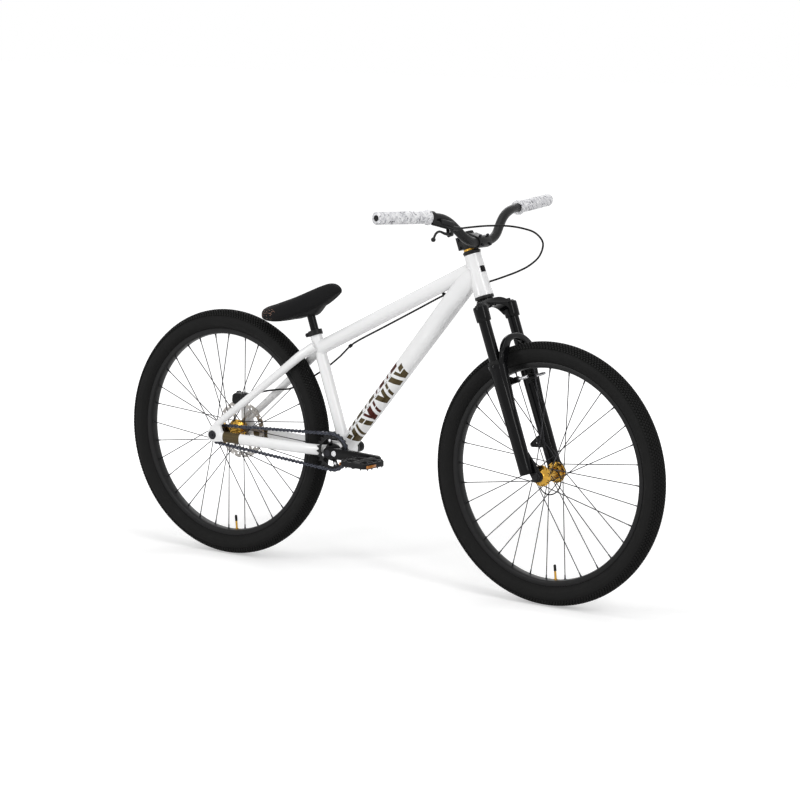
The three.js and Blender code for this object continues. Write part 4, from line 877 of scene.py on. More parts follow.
cog_shape = bmesh.new()
cog_loop = teeth(rear_axle, 12, 0.0207, 0.0280, pin_phase(rear_axle, cog_radius, 12), ring_y)
plate(cog_shape, cog_loop, across * ring_thick, [ring_points(rear_axle, 0.0172, ring_y, 36)])
finish_piece(cog_shape, "cog_plate", "cog_driver", dark_steel, ["rear_cog"])
driver = [
    (0.0055, -0.0332), (0.0170, -0.0332), (0.0170, -0.0480), (0.0176, -0.0486), (0.0176, -0.0522),
    (0.0165, -0.0525), (0.0130, -0.0518), (0.0125, -0.0510), (0.0055, -0.0510),
]
turned_piece(
    "freehub_driver", driver, rear_axle, across, "cog_driver", dark_steel, ["freehub_body"],
    steps=40,
)

# %% [markdown]
# ## Cranks and pedals
# A forged crank arm tapers from a wide boss on the spindle to a smaller eye at the pedal, and leans
# outwards on the way. Its outline is the hull of two circles, lifted to its thickness, pulled outwards
# and bevelled. The pedals are flat cages with windows, short grip pins and amber reflectors.

# %% Crank arms
def crank_arm(name, node, side):
    """side is -1 on the right, where the arm points forward, and 1 on the left, where it points back."""
    way = -side
    shape = bmesh.new()
    outline = hull_outline((0, 0, 0.015), (way * crank_length, 0, 0.012), steps=48)
    verts = plate(shape, side_view(outline, 0), across * side)
    for vert in verts:
        share = min(max(vert.co.x * way / crank_length, 0), 1)
        inner, outer = lerp(0.0535, 0.070, share), lerp(0.073, 0.086, share)
        thin = 0.0016 * sin(pi * share)
        vert.co.z *= 1 - 0.12 * sin(pi * share)
        vert.co.y = side * lerp(inner + thin, outer - thin, abs(vert.co.y))
        vert.co += bracket
    rounded(shape, 0.0024, 3, 60)
    boss = bracket + across * side * 0.0722
    spun(
        shape, [(0.0128, 0), (0.0128, 0.0016), (0.0120, 0.0022), (0.0108, 0.0022), (0.0108, 0)], boss,
        across * side, 36,
    )
    eye = bracket + Vector((way * crank_length, side * 0.0852, 0))
    spun(shape, [(0.0098, 0), (0.0098, 0.0012), (0.0075, 0.0012), (0.0075, 0)], eye, across * side, 32)
    finish_piece(shape, name, "crankset", gloss_black, [node])


crank_arm("crank_arm_right", "right_crank_arm", -1)
crank_arm("crank_arm_left", "left_crank_arm", 1)
half_spindle = [
    (0.0095, 0.070), (0.0095, 0.0740), (0.0088, 0.0750), (0.0062, 0.0750), (0.0058, 0.0742), (0, 0.0742),
]
spindle_line = mirrored(half_spindle) + half_spindle
turned_piece(
    "crank_spindle", spindle_line, bracket, across, "crankset", dark_steel, ["spindle"],
    steps=32, closed=False,
)
sprocket_bolt = bracket + Vector((0.0235, -0.0748, 0.001))
bolt_line = [
    (0, -0.002), (0.0075, -0.002), (0.0075, 0.0016), (0.0066, 0.0026), (0.0042, 0.0026), (0.0038, 0.0012),
    (0, 0.0012),
]
turned_piece(
    "sprocket_bolt", bolt_line, sprocket_bolt, -across, "crankset", bright_steel, steps=32,
    closed=False,
)


# %% Pedals
def pedal(side, way):
    """A flat pedal round its axle. way is 1 for the pedal in front."""
    word = "left" if side > 0 else "right"
    body = word + "_pedal_body"
    centre = bracket + Vector((way * crank_length, 0, 0))
    inner, outer, half, tall = 0.0965, 0.1825, 0.0445, 0.0072
    cut = 0.010
    outline = [
        (-half + cut, outer), (half - cut, outer), (half, outer - cut), (half, inner + cut),
        (half - cut, inner), (-half + cut, inner), (-half, inner + cut), (-half, outer - cut),
    ]
    holes = []
    for x0, x1 in ((-0.0355, -0.0115), (0.0115, 0.0355)):
        for y0, y1 in ((inner + 0.009, 0.1355), (0.1435, outer - 0.008)):
            holes.append([(x0, y0), (x1, y0), (x1, y1), (x0, y1)])

    def laid_flat(loop):
        return [centre + Vector((x, side * y, -tall)) for x, y in loop]

    cage = bmesh.new()
    plate(cage, laid_flat(outline), Vector((0, 0, 2 * tall)), [laid_flat(hole) for hole in holes])
    rounded(cage, 0.0014, 2, 40)
    barrel = centre + across * side * inner
    spun(
        cage,
        [
            (0.0056, -0.0005), (0.0100, -0.0005), (0.0110, 0.002), (0.0110, 0.040), (0.0095, 0.060),
            (0.0095, 0.084), (0.0060, 0.0865), (0, 0.0865), (0, 0.08), (0.0056, 0.08),
        ],
        barrel, across * side, 28,
    )
    finish_piece(cage, word + "_pedal_cage", body, black_plastic, [word + "_pedal"])
    pins_shape = bmesh.new()
    pin_places = [(x, y) for x in (-0.0400, 0.0400) for y in (inner + 0.012, 0.128, 0.152, outer - 0.011)]
    pin_places += [(x, outer - 0.004) for x in (-0.0235, 0.0235)]
    pin_reach = Vector((0, 0, tall + 0.0035))
    for x, y in pin_places:
        spot = centre + Vector((x, side * y, 0))
        rod(pins_shape, spot - pin_reach, spot + pin_reach, 0.0019, sides=10)
    finish_piece(pins_shape, word + "_pedal_pins", body, dark_steel)
    for end in (-1, 1):
        lens = bmesh.new()
        brick(lens, centre + Vector((end * 0.0440, side * 0.1600, -0.001)), (0.0040, 0.038, 0.0075))
        rounded(lens, 0.0008, 2, 40)
        finish_piece(
            lens, word + ("_pedal_reflector_front" if end > 0 else "_pedal_reflector_rear"), body,
            amber_lens,
        )
    axle_line = [
        (0, 0.0712), (0.0070, 0.0712), (0.0070, 0.0862), (0.0085, 0.0864), (0.0085, 0.0945), (0.0078, 0.0955),
        (0.0055, 0.0957), (0.0055, 0.1755), (0, 0.1760),
    ]
    turned_piece(
        word + "_pedal_spindle", axle_line, centre, across * side, "crankset", dark_steel,
        [word + "_pedal_axle"], steps=28, closed=False,
    )


amber_lens = finish(
    "amber_lens", (0.48, 0.17, 0.008), (0.36, 0.11, 0.005), 0, (0.12, 0.2), 150, 900, 0.05, coat=0.2,
)
nodes, links = amber_lens.node_tree.nodes, amber_lens.node_tree.links
prisms = nodes.new("ShaderNodeTexVoronoi")
prisms.inputs["Scale"].default_value = 420
prisms.inputs["Randomness"].default_value = 0
links.new(nodes["Texture Coordinate"].outputs["Object"], prisms.inputs["Vector"])
links.new(prisms.outputs["Distance"], nodes["Bump"].inputs["Height"])
nodes["Bump"].inputs["Strength"].default_value = 0.5
pedal(-1, 1)
pedal(1, -1)

# %% [markdown]
# ## Frame
# The frame is welded from aluminium tubes and painted gloss white. The down tube is a tall oval that
# grows towards the head, the seat stays bend round the wheel, and the chain stays are flattened.
# Each tube is swept along its own axis. Where two tubes meet, a rippled bead follows the true line of
# the joint, found by sliding each point of one tube along until it meets the other.

# %% Head tube and straight tubes
def squeeze(shape, ring, centre, share):
    bmesh.ops.scale(shape, vec=(1, share, 1), space=Matrix.Translation(-centre), verts=ring)


head_profile = [
    (0.0172, 0.4800), (0.0245, 0.4800), (0.0250, 0.4805), (0.0250, 0.4890), (0.0236, 0.4960),
    (0.0232, 0.5200),
    (0.0222, 0.5700), (0.0221, 0.5780), (0.0222, 0.5810), (0.0222, 0.5895), (0.0218, 0.5900),
    (0.0172, 0.5900),
]
turned_piece(
    "head_tube_shell", head_profile, steer_base, steer_up, "frame", white_paint,
    ["head_tube"], steps=72,
)

top_rear = seat_foot + seat_up * ((0.5928 - seat_foot.z) / seat_up.z)
top_front = steer(0, 0, 0.556)
top_shape = bmesh.new()
swept(top_shape, [top_rear, top_rear.lerp(top_front, 0.5), top_front], 0.019, 48)
finish_piece(top_shape, "top_tube_pipe", "frame", white_paint, ["top_tube"])

seat_profile = [(0.0118, 0.020), (0.0159, 0.020), (0.0159, 0.3255), (0.0155, 0.3260), (0.0118, 0.3260)]
turned_piece(
    "seat_tube_pipe", seat_profile, seat_foot, seat_up, "frame", white_paint, ["seat_tube"],
    steps=56,
)

# %% Down tube
down_front = steer(0, 0, 0.550)
down_along = (down_front - bracket).normalized()
down_rise = Vector((-down_along.z, 0, down_along.x))
down_shape = bmesh.new()
stations = [0.0, 0.06, 0.18, 0.32, 0.46, 0.60, 0.74, 0.86, 0.94, 1.0]
down_points = [bracket.lerp(down_front, share) for share in stations]
down_halves = [0.0195, 0.0225, 0.0247, 0.0255, 0.0262, 0.0270, 0.0277, 0.0283, 0.0284, 0.0270]
down_wide = [1.0, 0.95, 0.88, 0.85, 0.85, 0.85, 0.85, 0.85, 0.84, 0.80]
for ring, point, share in zip(swept(down_shape, down_points, down_halves, 56), down_points, down_wide):
    squeeze(down_shape, ring, point, share)


def down_station(point):
    """(distance from the crank axle, height above the tube's axis) of a point on the down tube."""
    offset = point - bracket
    return offset.dot(down_along), offset.dot(down_rise)


lean_out = 0.40
bars = [
    (0.046, 0.060, 1), (0.068, 0.082, -1), (0.089, 0.097, -1), (0.106, 0.122, 1), (0.131, 0.139, 1),
    (0.147, 0.164, -1),
    (0.174, 0.182, -1), (0.191, 0.207, 1), (0.217, 0.229, -1), (0.238, 0.247, -1), (0.257, 0.274, 1),
    (0.284, 0.294, 1),
    (0.303, 0.321, -1),
]
marks = [
    (0.058, 0.066), (0.076, 0.090), (0.100, 0.128), (0.140, 0.148), (0.160, 0.186), (0.196, 0.203),
    (0.214, 0.238),
    (0.250, 0.258), (0.270, 0.300),
]


def cut_down_tube(point, normal):
    everything = down_shape.verts[:] + down_shape.edges[:] + down_shape.faces[:]
    bmesh.ops.bisect_plane(down_shape, geom=everything, dist=1e-6, plane_co=point, plane_no=normal)


for near, far, way in bars:
    for distance in (near, far):
        cut_down_tube(bracket + down_along * distance, (down_along + down_rise * lean_out * way).normalized())
for near, far in marks:
    for distance in (near, far):
        cut_down_tube(bracket + down_along * distance, (down_along - down_rise * lean_out).normalized())
for height in (-0.0240, -0.0100, -0.0075, 0.0050, 0.0072, 0.0086, 0.0105, 0.0215):
    cut_down_tube(bracket + down_rise * height, down_rise)
for face in down_shape.faces:
    along, height = down_station(face.calc_center_median())
    in_bar = [i for i, (near, far, way) in enumerate(bars) if near < along + height * lean_out * way < far]
    in_mark = any(near < along - height * lean_out < far for near, far in marks)
    if in_bar and -0.0240 < height < 0.0050 and not (in_bar[0] % 3 == 0 and -0.0100 < height < -0.0075):
        face.material_index = 2 if in_bar[0] in (4, 5, 6) else 1
    elif 0.046 < along < 0.30 and 0.0072 < height < 0.0086 and not in_mark:
        face.material_index = 3
    elif in_mark and 0.0105 < height < 0.0215:
        face.material_index = 2 if along > 0.20 or along < 0.075 else 1
paints = [white_paint, olive_band, red_band, grey_band]
finish_piece(down_shape, "down_tube_pipe", "frame", paints, ["down_tube"])

# %% Stays
stay_start = seat_foot + seat_up * ((0.600 - seat_foot.z) / seat_up.z)
seat_shares = [(0, 0, 0), (0.128, 0.333, 0.122), (0.3, 0.5, 0.3), (0.783, 0.88, 0.787), (1, 1, 1)]
band_ends = (-0.484, -0.431)
chain_shares = [(0, 0, 0), (0.054, 0.14, 0.3), (0.232, 0.395, 1), (0.736, 0.814, 0.5), (1, 1, 0)]


def seat_stay(side, word):
    start = Vector((stay_start.x, side * 0.020, stay_start.z))
    end = Vector((rear_axle.x + 0.017, side * 0.068, rear_axle.z + 0.0335))
    route = [
        Vector((lerp(start.x, end.x, a), lerp(start.y, end.y, b), lerp(start.z, end.z, c)))
        for a, b, c in seat_shares
    ]
    line = smooth_line(route, 8)
    shape = bmesh.new()
    swept(shape, line, [lerp(0.0130, 0.0095, i / (len(line) - 1)) for i in range(len(line))], 36)
    finish_piece(shape, "seat_stay_" + word, "frame", white_paint, [word + "_seat_stay"])


def chain_stay(side, word):
    start = bracket + Vector((-0.002, side * 0.025, 0))
    end = Vector((rear_axle.x + 0.023, side * 0.068, rear_axle.z - 0.0025))
    route = [
        Vector((lerp(start.x, end.x, a), lerp(start.y, end.y, b), lerp(start.z, end.z, a) - 0.003 * c))
        for a, b, c in chain_shares
    ]
    line = smooth_line(route, 8)
    shape = bmesh.new()
    for ring, point in zip(swept(shape, line, 0.0145, 40), line):
        squeeze(shape, ring, point, 0.58)
    for x in band_ends:
        everything = shape.verts[:] + shape.edges[:] + shape.faces[:]
        bmesh.ops.bisect_plane(shape, geom=everything, dist=1e-6, plane_co=(x, 0, 0), plane_no=(1, 0, 0))
    for face in shape.faces:
        face.material_index = 1 if band_ends[0] < face.calc_center_median().x < band_ends[1] else 0
    finish_piece(
        shape, "chain_stay_" + word, "frame", [white_paint, olive_band],
        [word + "_chain_stay"],
    )


for side, word in right_and_left:
    seat_stay(side, word)
    chain_stay(side, word)


# %% Dropouts
def dropout(side, word):
    x, z = rear_axle.x, rear_axle.z
    shape = bmesh.new()
    outline = hull_outline(
        (x, z, 0.019), (x + 0.023, z - 0.0025, 0.014), (x + 0.014, z + 0.0295, 0.010), steps=60,
    )
    y = side * 0.066
    plate(shape, side_view(outline, y), across * side * 0.008)
    if side > 0:
        post = hull_outline((x - 0.004, z + 0.0295, 0.010), (x - 0.004, z + 0.092, 0.010), steps=40)
        plate(shape, side_view(post, y), across * 0.008)
    rounded(shape, 0.0016, 2, 50)
    finish_piece(shape, "dropout_" + word, "frame", white_paint, [word + "_dropout"])


dropout(-1, "right")
dropout(1, "left")

# %% Bottom bracket
shell_line = [
    (0.0142, -0.0365), (0.0196, -0.0365), (0.0200, -0.0360), (0.0200, 0.0360), (0.0196, 0.0365),
    (0.0142, 0.0365),
]
turned_piece(
    "bracket_shell", shell_line, bracket, across, "frame", white_paint,
    ["bottom_bracket_shell"], steps=56,
)
for side, word in right_and_left:
    cup_line = [
        (0.0100, 0.0300), (0.0134, 0.0300), (0.0134, 0.0368), (0.0196, 0.0368), (0.0200, 0.0374),
        (0.0200, 0.0430), (0.0186, 0.0462), (0.0150, 0.0465), (0.0142, 0.0455), (0.0100, 0.0455),
    ]
    turned_piece(
        "bracket_cup_" + word, cup_line, bracket, across * side, "frame", black_alloy,
        [word + "_bracket_cup"],
    )


# %% Weld beads
def weld(shape, start, along, half_high, half_wide, post_point, post_axis, post_radius, count=120):
    """A rippled bead where an oval tube (from start, pointing along) meets a round post."""
    rise = across.cross(along).normalized()
    beads = []
    for i in range(count):
        turn = 2 * pi * i / count
        spot = start + rise * half_high * cos(turn) + across * half_wide * sin(turn)
        gap = spot - post_point
        gap -= post_axis * gap.dot(post_axis)
        flat = along - post_axis * along.dot(post_axis)
        a, b = flat.length_squared, 2 * gap.dot(flat)
        c = gap.length_squared - post_radius ** 2
        inside = max(b * b - 4 * a * c, 0)
        beads.append(spot + along * (-b - sqrt(inside)) / (2 * a))
    swept(shape, beads, [0.0017 + 0.0004 * sin(i * 2.1) for i in range(count)], 8, closed=True)


welds = bmesh.new()
top_along = (top_front - top_rear).normalized()
weld(welds, top_front - top_along * 0.06, top_along, 0.019, 0.019, steer_base, steer_up, 0.0226)
weld(welds, down_front - down_along * 0.06, down_along, 0.0284, 0.0226, steer_base, steer_up, 0.0229)
weld(welds, top_rear + top_along * 0.06, -top_along, 0.019, 0.0155, seat_foot, seat_up, 0.0159)
weld(welds, seat_foot + seat_up * 0.06, -seat_up, 0.0159, 0.0159, bracket, across, 0.0200)
weld(welds, bracket + down_along * 0.06, -down_along, 0.0225, 0.0214, bracket, across, 0.0200)
finish_piece(welds, "weld_beads", "frame", white_paint, sharp=60)
print("frame welded")

# %% [markdown]
# ## Headset, seat clamp and rear axle
# The headset's cups are plain turned rings. The seat clamp is a split ring with a bolt through its ears
# behind the post. The rear axle ends in large round nuts against the dropouts.

# %% Headset cups
lower_line = [
    (0.0150, 0.4722), (0.0240, 0.4722), (0.0250, 0.4732), (0.0250, 0.4790), (0.0246, 0.4797),
    (0.0163, 0.4797), (0.0163, 0.4910), (0.0150, 0.4910),
]
turned_piece(
    "headset_cup_low", lower_line, steer_base, steer_up, "frame", black_alloy,
    ["lower_headset_cup"], steps=56,
)
upper_line = [
    (0.0150, 0.5800), (0.0164, 0.5800), (0.0164, 0.5903), (0.0220, 0.5903), (0.0222, 0.5940),
    (0.0235, 0.5950), (0.0235, 0.5970), (0.0215, 0.5995), (0.0180, 0.6000), (0.0150, 0.6000),
]
turned_piece(
    "headset_cup_high", upper_line, steer_base, steer_up, "frame", black_alloy,
    ["upper_headset_cup"], steps=56,
)
badge = bmesh.new()
corners = [(0.0231, 0.539), (0.0237, 0.539), (0.0236, 0.555), (0.0230, 0.555)]
turned = Matrix.Rotation(radians(-30), 3, steer_up) @ steer_forward
badge_face = badge.faces.new(
    [badge.verts.new(steer_base + turned * radius + steer_up * up) for radius, up in corners]
)
bmesh.ops.spin(badge, geom=[badge_face], cent=steer_base, axis=steer_up, angle=radians(40), steps=10)
finish_piece(badge, "head_badge", "frame", gloss_black)

# %% Seat clamp
clamp_shape = bmesh.new()
collar = [
    (0.0162, 0.3180), (0.0186, 0.3180), (0.0193, 0.3187), (0.0193, 0.3313), (0.0186, 0.3320),
    (0.0115, 0.3320), (0.0115, 0.3263), (0.0162, 0.3263),
]
spun(clamp_shape, collar, seat_foot, seat_up, 48)
clamp_middle = on_seat(0.3248)
backward_side = seat_up.cross(across).normalized()
if backward_side.x > 0:
    backward_side = -backward_side
ears = bmesh.new()
for y in (-0.0058, 0.0058):
    ear_axes = Matrix((backward_side, across, backward_side.cross(across))).transposed().to_4x4()
    brick(ears, clamp_middle + backward_side * 0.0228 + across * y, (0.0110, 0.0068, 0.0110), ear_axes)
rounded(ears, 0.0016, 3, 40)
taken_into(clamp_shape, ears)
finish_piece(clamp_shape, "seat_clamp_ring", "frame", black_alloy, ["seat_clamp"])
bolt_at = clamp_middle + backward_side * 0.0240
bolt_line = [
    (0, -0.0110), (0.0034, -0.0110), (0.0036, -0.0092), (0.0024, -0.0092), (0.0024, 0.0095),
    (0.0030, 0.0095), (0.0030, 0.0112), (0, 0.0112),
]
turned_piece(
    "seat_clamp_bolt", bolt_line, bolt_at, across, "frame", dark_steel, steps=18,
    closed=False,
)

# %% Rear axle
half_axle = [
    (0.0080, 0.0530), (0.0080, 0.0655), (0.0050, 0.0657), (0.0050, 0.0743), (0.0122, 0.0743),
    (0.0122, 0.0760), (0.0110, 0.0765), (0.0104, 0.0782), (0.0050, 0.0784), (0.0050, 0.0800),
    (0.0044, 0.0805), (0, 0.0805),
]
axle_line = mirrored(half_axle) + half_axle
turned_piece(
    "rear_axle_set", axle_line, rear_axle, across, "frame", dark_steel, ["rear_axle"],
    steps=36, closed=False,
)

# %% [markdown]
# ## Suspension fork
# The fork telescopes: two black stanchions, clamped in the crown, slide into cast lower legs that a
# brace joins over the tyre. The crown is a turned boss and two turned sockets, joined by an arched
# plate whose ends lean forward to the sockets. The legs are turned too. The brace is another arched
# plate. It stands in front of the crown, which clears it when the fork closes, and its feet are pulled
# back into the legs.

# %% Crown
crown_shape = bmesh.new()
boss_line = [
    (0.0150, 0.4490), (0.0225, 0.4490), (0.0238, 0.4505), (0.0240, 0.4660), (0.0228, 0.4695),
    (0.0210, 0.4702),
    (0.0210, 0.4715), (0.0150, 0.4715),
]
spun(crown_shape, boss_line, steer_base, steer_up, 48)
socket_line = [
    (0.0156, 0.4120), (0.0178, 0.4120), (0.0188, 0.4130), (0.0192, 0.4240), (0.0195, 0.4400),
    (0.0195, 0.4480),
    (0.0186, 0.4510), (0.0172, 0.4520), (0.0156, 0.4520),
]
for side in (-1, 1):
    spun(crown_shape, socket_line, steer(leg_forward, side * leg_side, 0), steer_up, 48)
crown_top = [(0.0620, 0.4505), (0.0500, 0.4575), (0.0380, 0.4650), (0.0240, 0.4692), (0, 0.4695)]
crown_under = [
    (0.0620, 0.4170), (0.0520, 0.4240), (0.0455, 0.4340), (0.0360, 0.4440), (0.0220, 0.4500), (0, 0.4510),
]
arms = bmesh.new()


def both_halves(edge, forward):
    """One edge of a bridge across the fork, as a smooth line from the right leg to the left."""
    spots = [steer(forward, -y, up) for y, up in edge] + [steer(forward, y, up) for y, up in edge[-2::-1]]
    return smooth_line(spots, 5)


for vert in plate(
    arms, both_halves(crown_top, -0.0150) + both_halves(crown_under, -0.0150)[::-1], steer_forward * 0.030,
):
    vert.co += steer_forward * leg_forward * min(abs(vert.co.y) / 0.060, 1)
rounded(arms, 0.0060, 4, 50)
taken_into(crown_shape, arms)
finish_piece(crown_shape, "fork_crown_forging", "steering", gloss_black, ["fork_crown"], 45)
caps = bmesh.new()
for side in (-1, 1):
    top = steer(leg_forward, side * leg_side, 0.4520)
    spun(
        caps, [(0, 0.0035), (0.0120, 0.0035), (0.0135, 0.0025), (0.0140, 0), (0.0140, -0.004), (0, -0.004)],
        top, steer_up, 32, closed=False,
    )
knob_at = steer(leg_forward, leg_side, 0.4550)
spun(
    caps, [(0, 0.0065), (0.0052, 0.0065), (0.0062, 0.0055), (0.0062, 0), (0, 0)], knob_at, steer_up, 12,
    closed=False,
)
valve_cap = steer(leg_forward, -leg_side, 0.4550)
spun(
    caps, [(0, 0.0040), (0.0080, 0.0040), (0.0090, 0.0030), (0.0090, 0), (0, 0)], valve_cap, steer_up, 24,
    closed=False,
)
finish_piece(caps, "crown_caps", "steering", black_plastic)

# %% Stanchions
tube_line = [(0, 0.170), (0.0145, 0.170), (0.0150, 0.171), (0.0150, 0.4445), (0, 0.4445)]
for side, word in right_and_left:
    leg_foot = steer(leg_forward, side * leg_side, 0)
    turned_piece(
        "stanchion_" + word, tube_line, leg_foot, steer_up, "steering", gloss_black,
        [word + "_stanchion"], steps=40, closed=False,
    )

# %% Lower legs
lowers_shape = bmesh.new()
leg_line = [
    (0, 0.0120), (0.0150, 0.0120), (0.0172, 0.0135), (0.0180, 0.0165), (0.0180, 0.0600), (0.0186, 0.1200),
    (0.0190, 0.1900), (0.0194, 0.2500), (0.0198, 0.2820), (0.0216, 0.2880), (0.0218, 0.2965),
    (0.0206, 0.2985), (0.0155, 0.2990),
    (0.0155, 0.2900), (0, 0.2900),
]
for side in (-1, 1):
    spun(lowers_shape, leg_line, steer(leg_forward, side * leg_side, 0), steer_up, 48, closed=False)
outer_edge = [
    (0.0750, 0.2550), (0.0765, 0.3000), (0.0735, 0.3230), (0.0600, 0.3440), (0.0400, 0.3590),
    (0.0180, 0.3660), (0, 0.3672),
]
inner_edge = [
    (0.0540, 0.2550), (0.0525, 0.2950), (0.0475, 0.3150), (0.0375, 0.3320), (0.0250, 0.3450),
    (0.0110, 0.3505), (0, 0.3515),
]
brace = bmesh.new()
brace_loop = both_halves(outer_edge, 0.0450) + both_halves(inner_edge, 0.0450)[::-1]
for vert in plate(brace, brace_loop, steer_forward * 0.0160):
    up = (vert.co - steer_base).dot(steer_up)
    vert.co -= steer_forward * 0.028 * max((0.324 - up) / 0.069, 0) ** 1.2
rounded(brace, 0.0050, 4, 50)
taken_into(lowers_shape, brace)
for side in (-1, 1):
    rod(
        lowers_shape, steer(0.0400, side * leg_side, 0.3000), steer(0.0330, side * leg_side, 0.1400),
        0.0140, 0.0080, 28,
    )
for side in (-1, 1):
    rod(
        lowers_shape, steer(0.030, side * 0.040, 0.249), steer(0.0615, side * 0.040, 0.249), 0.0085, 0.0078,
        sides=24,
    )
    web = [
        steer(t, side * 0.046, s)
        for t, s in [(0.028, 0.236), (0.050, 0.241), (0.050, 0.257), (0.028, 0.268)]
    ]
    plate(lowers_shape, web, across * side * 0.012)
fins = bmesh.new()
for side in (-1, 1):
    outline = hull_outline((0.044, 0, 0.0140), (0.027, 0.062, 0.0110), steps=48)
    plate(fins, [steer(t, side * 0.0505, s) for t, s in outline], across * side * 0.008)
    rod(fins, steer(0.044, side * 0.0500, 0), steer(0.044, side * 0.0590, 0), 0.0150, 0.0130, 40)
prong = hull_outline((-0.0150, 0.0850, 0.0066), (0.0100, 0.0810, 0.0100), (0.0100, 0.0930, 0.0100), steps=32)
eye = [(-0.0030 + 0.0026 * cos(a), 0.0860 + 0.0026 * sin(a)) for a in [2 * pi * i / 16 for i in range(16)]]
plate(
    fins, [steer(t, 0.0505, up) for t, up in prong], across * 0.0065,
    [[steer(t, 0.0505, up) for t, up in eye]],
)
rounded(fins, 0.0018, 3, 50)
taken_into(lowers_shape, fins)
finish_piece(lowers_shape, "fork_lower_legs", "lowers", gloss_black, ["fork_lowers"], 45)

# %% Wipers, studs and front axle
wipers = bmesh.new()
for side in (-1, 1):
    wiper = [
        (0.0152, 0.2988), (0.0196, 0.2988), (0.0198, 0.3020), (0.0186, 0.3035), (0.0186, 0.3060),
        (0.0176, 0.3085), (0.0158, 0.3095), (0.0152, 0.3080),
    ]
    spun(wipers, wiper, steer(leg_forward, side * leg_side, 0), steer_up, 40)
finish_piece(wipers, "fork_wipers", "lowers", black_rubber)
studs = bmesh.new()
for side in (-1, 1):
    stud = [
        (0, -0.002), (0.0040, -0.002), (0.0040, 0.0265), (0.0034, 0.0272), (0.0028, 0.0272),
        (0.0028, 0.0220), (0, 0.0220),
    ]
    spun(studs, stud, steer(0.0610, side * 0.040, 0.249), steer_forward, 20, closed=False)
finish_piece(studs, "brake_studs", "lowers", bright_steel)
half_front = [
    (0.0050, 0.0200), (0.0050, 0.0480), (0.0090, 0.0480), (0.0090, 0.0502), (0.0050, 0.0502),
    (0.0050, 0.0588),
    (0.0115, 0.0588), (0.0115, 0.0606), (0.0104, 0.0620), (0.0082, 0.0622), (0.0080, 0.0645),
    (0.0070, 0.0655), (0, 0.0655),
]
front_line = mirrored(half_front) + half_front
turned_piece(
    "front_axle_set", front_line, front_axle, across, "lowers", black_alloy, ["front_axle"],
    steps=32, closed=False,
)
tie = bmesh.new()
tie_centre = front_axle + Vector((0.004, 0, -0.0195))
tie_ring = [
    tie_centre + Vector((0.032 * cos(a), 0.006 * sin(a), 0.032 * sin(a)))
    for a in [2 * pi * i / 64 for i in range(64)]
]
swept(tie, tie_ring, 0.0017, 8, closed=True)
finish_piece(tie, "cable_ring", "lowers", black_rubber)

# %% [markdown]
# ## Stem, bar and grips
# A short forged stem grips the steerer with two bolts behind it and the bar with four in front. Its
# two halves keep their CAD form, as copies with rounded edges. The bar is one bent tube that thins
# outside its bends. Grips are ribbed rubber, marbled in white, grey and black, which is a noise pushed
# through a steep ramp.

# %% A rounded copy of a CAD solid
def copy_of(node, width, segments=3, angle=30):
    """A copy of a CAD node with its loose triangles merged and its edges rounded."""
    shape = bmesh.new()
    shape.from_mesh(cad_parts[node].data)
    bmesh.ops.remove_doubles(shape, verts=shape.verts, dist=2e-5)
    bmesh.ops.dissolve_limit(
        shape, angle_limit=radians(3), verts=shape.verts, edges=shape.edges, delimit=set(),
    )
    rounded(shape, width, segments, angle)
    return shape


print("rounded copies ready")

# %% Steerer, spacer, stem and cap
steerer_line = [(0.0117, 0.4480), (0.0143, 0.4480), (0.0143, 0.6440), (0.0117, 0.6440)]
turned_piece(
    "steerer_pipe", steerer_line, steer_base, steer_up, "steering", black_alloy,
    ["steerer_tube"], steps=40,
)
spacer_line = [
    (0.0146, 0.6004), (0.0192, 0.6004), (0.0195, 0.6008), (0.0195, 0.6048), (0.0192, 0.6052),
    (0.0146, 0.6052),
]
turned_piece(
    "gold_spacer", spacer_line, steer_base, steer_up, "steering", gold_alloy,
    ["headset_spacer"],
)
finish_piece(copy_of("stem", 0.0012), "stem_forging", "steering", black_alloy, ["stem"], 50)
finish_piece(
    copy_of("stem_faceplate", 0.0010), "stem_face", "steering", black_alloy,
    ["stem_faceplate"], 50,
)
stem_bolts = bmesh.new()
bolt_line = [
    (0, 0.0035), (0.0016, 0.0035), (0.0016, 0.0050), (0.0032, 0.0050), (0.0038, 0.0044), (0.0038, 0),
    (0, 0),
]
for up in (0.6020, 0.6262):
    for y in (-0.0165, 0.0165):
        spun(stem_bolts, bolt_line, steer(0.0475, y, up), steer_forward, 18, closed=False)
for up in (0.6140, 0.6355):
    spun(stem_bolts, bolt_line, steer(-0.0240, -0.0105, up), -across, 18, closed=False)
finish_piece(stem_bolts, "stem_bolts", "steering", dark_steel)
cap_line = [
    (0, 0.6492), (0.0030, 0.6492), (0.0034, 0.6500), (0.0160, 0.6500), (0.0176, 0.6490), (0.0180, 0.6475),
    (0.0180, 0.6453), (0.0112, 0.6453), (0.0112, 0.6300), (0, 0.6300),
]
turned_piece(
    "top_cap_disc", cap_line, steer_base, steer_up, "steering", black_alloy, ["top_cap"],
    closed=False,
)

# %% Handlebar
bar_halves = [0, 0.074, 0.132, 0.174, 0.21, 0.25, 0.29, 0.329, 0.382, 0.453, 0.526, 0.76, 1]
bar_rises = [0, 0, 0.0435, 0.12, 0.228, 0.38, 0.522, 0.63, 0.728, 0.799, 0.8261, 0.913, 1]
bar_bows = [0, 0, 0.23, 0.46, 0.55, 0.62, 0.77, 0.92, 1, 0.97, 0.4615, -1.154, -2.769]


def bar_point(i, side):
    return steer(0.036 + 0.0065 * bar_bows[i], side * 0.380 * bar_halves[i], 0.614 + 0.092 * bar_rises[i])


def bar_line(side, outward):
    """A point of the bar's straight outer part."""
    inner, end = bar_point(10, side), bar_point(12, side)
    return inner.lerp(end, (outward - abs(inner.y)) / abs(end.y - inner.y))


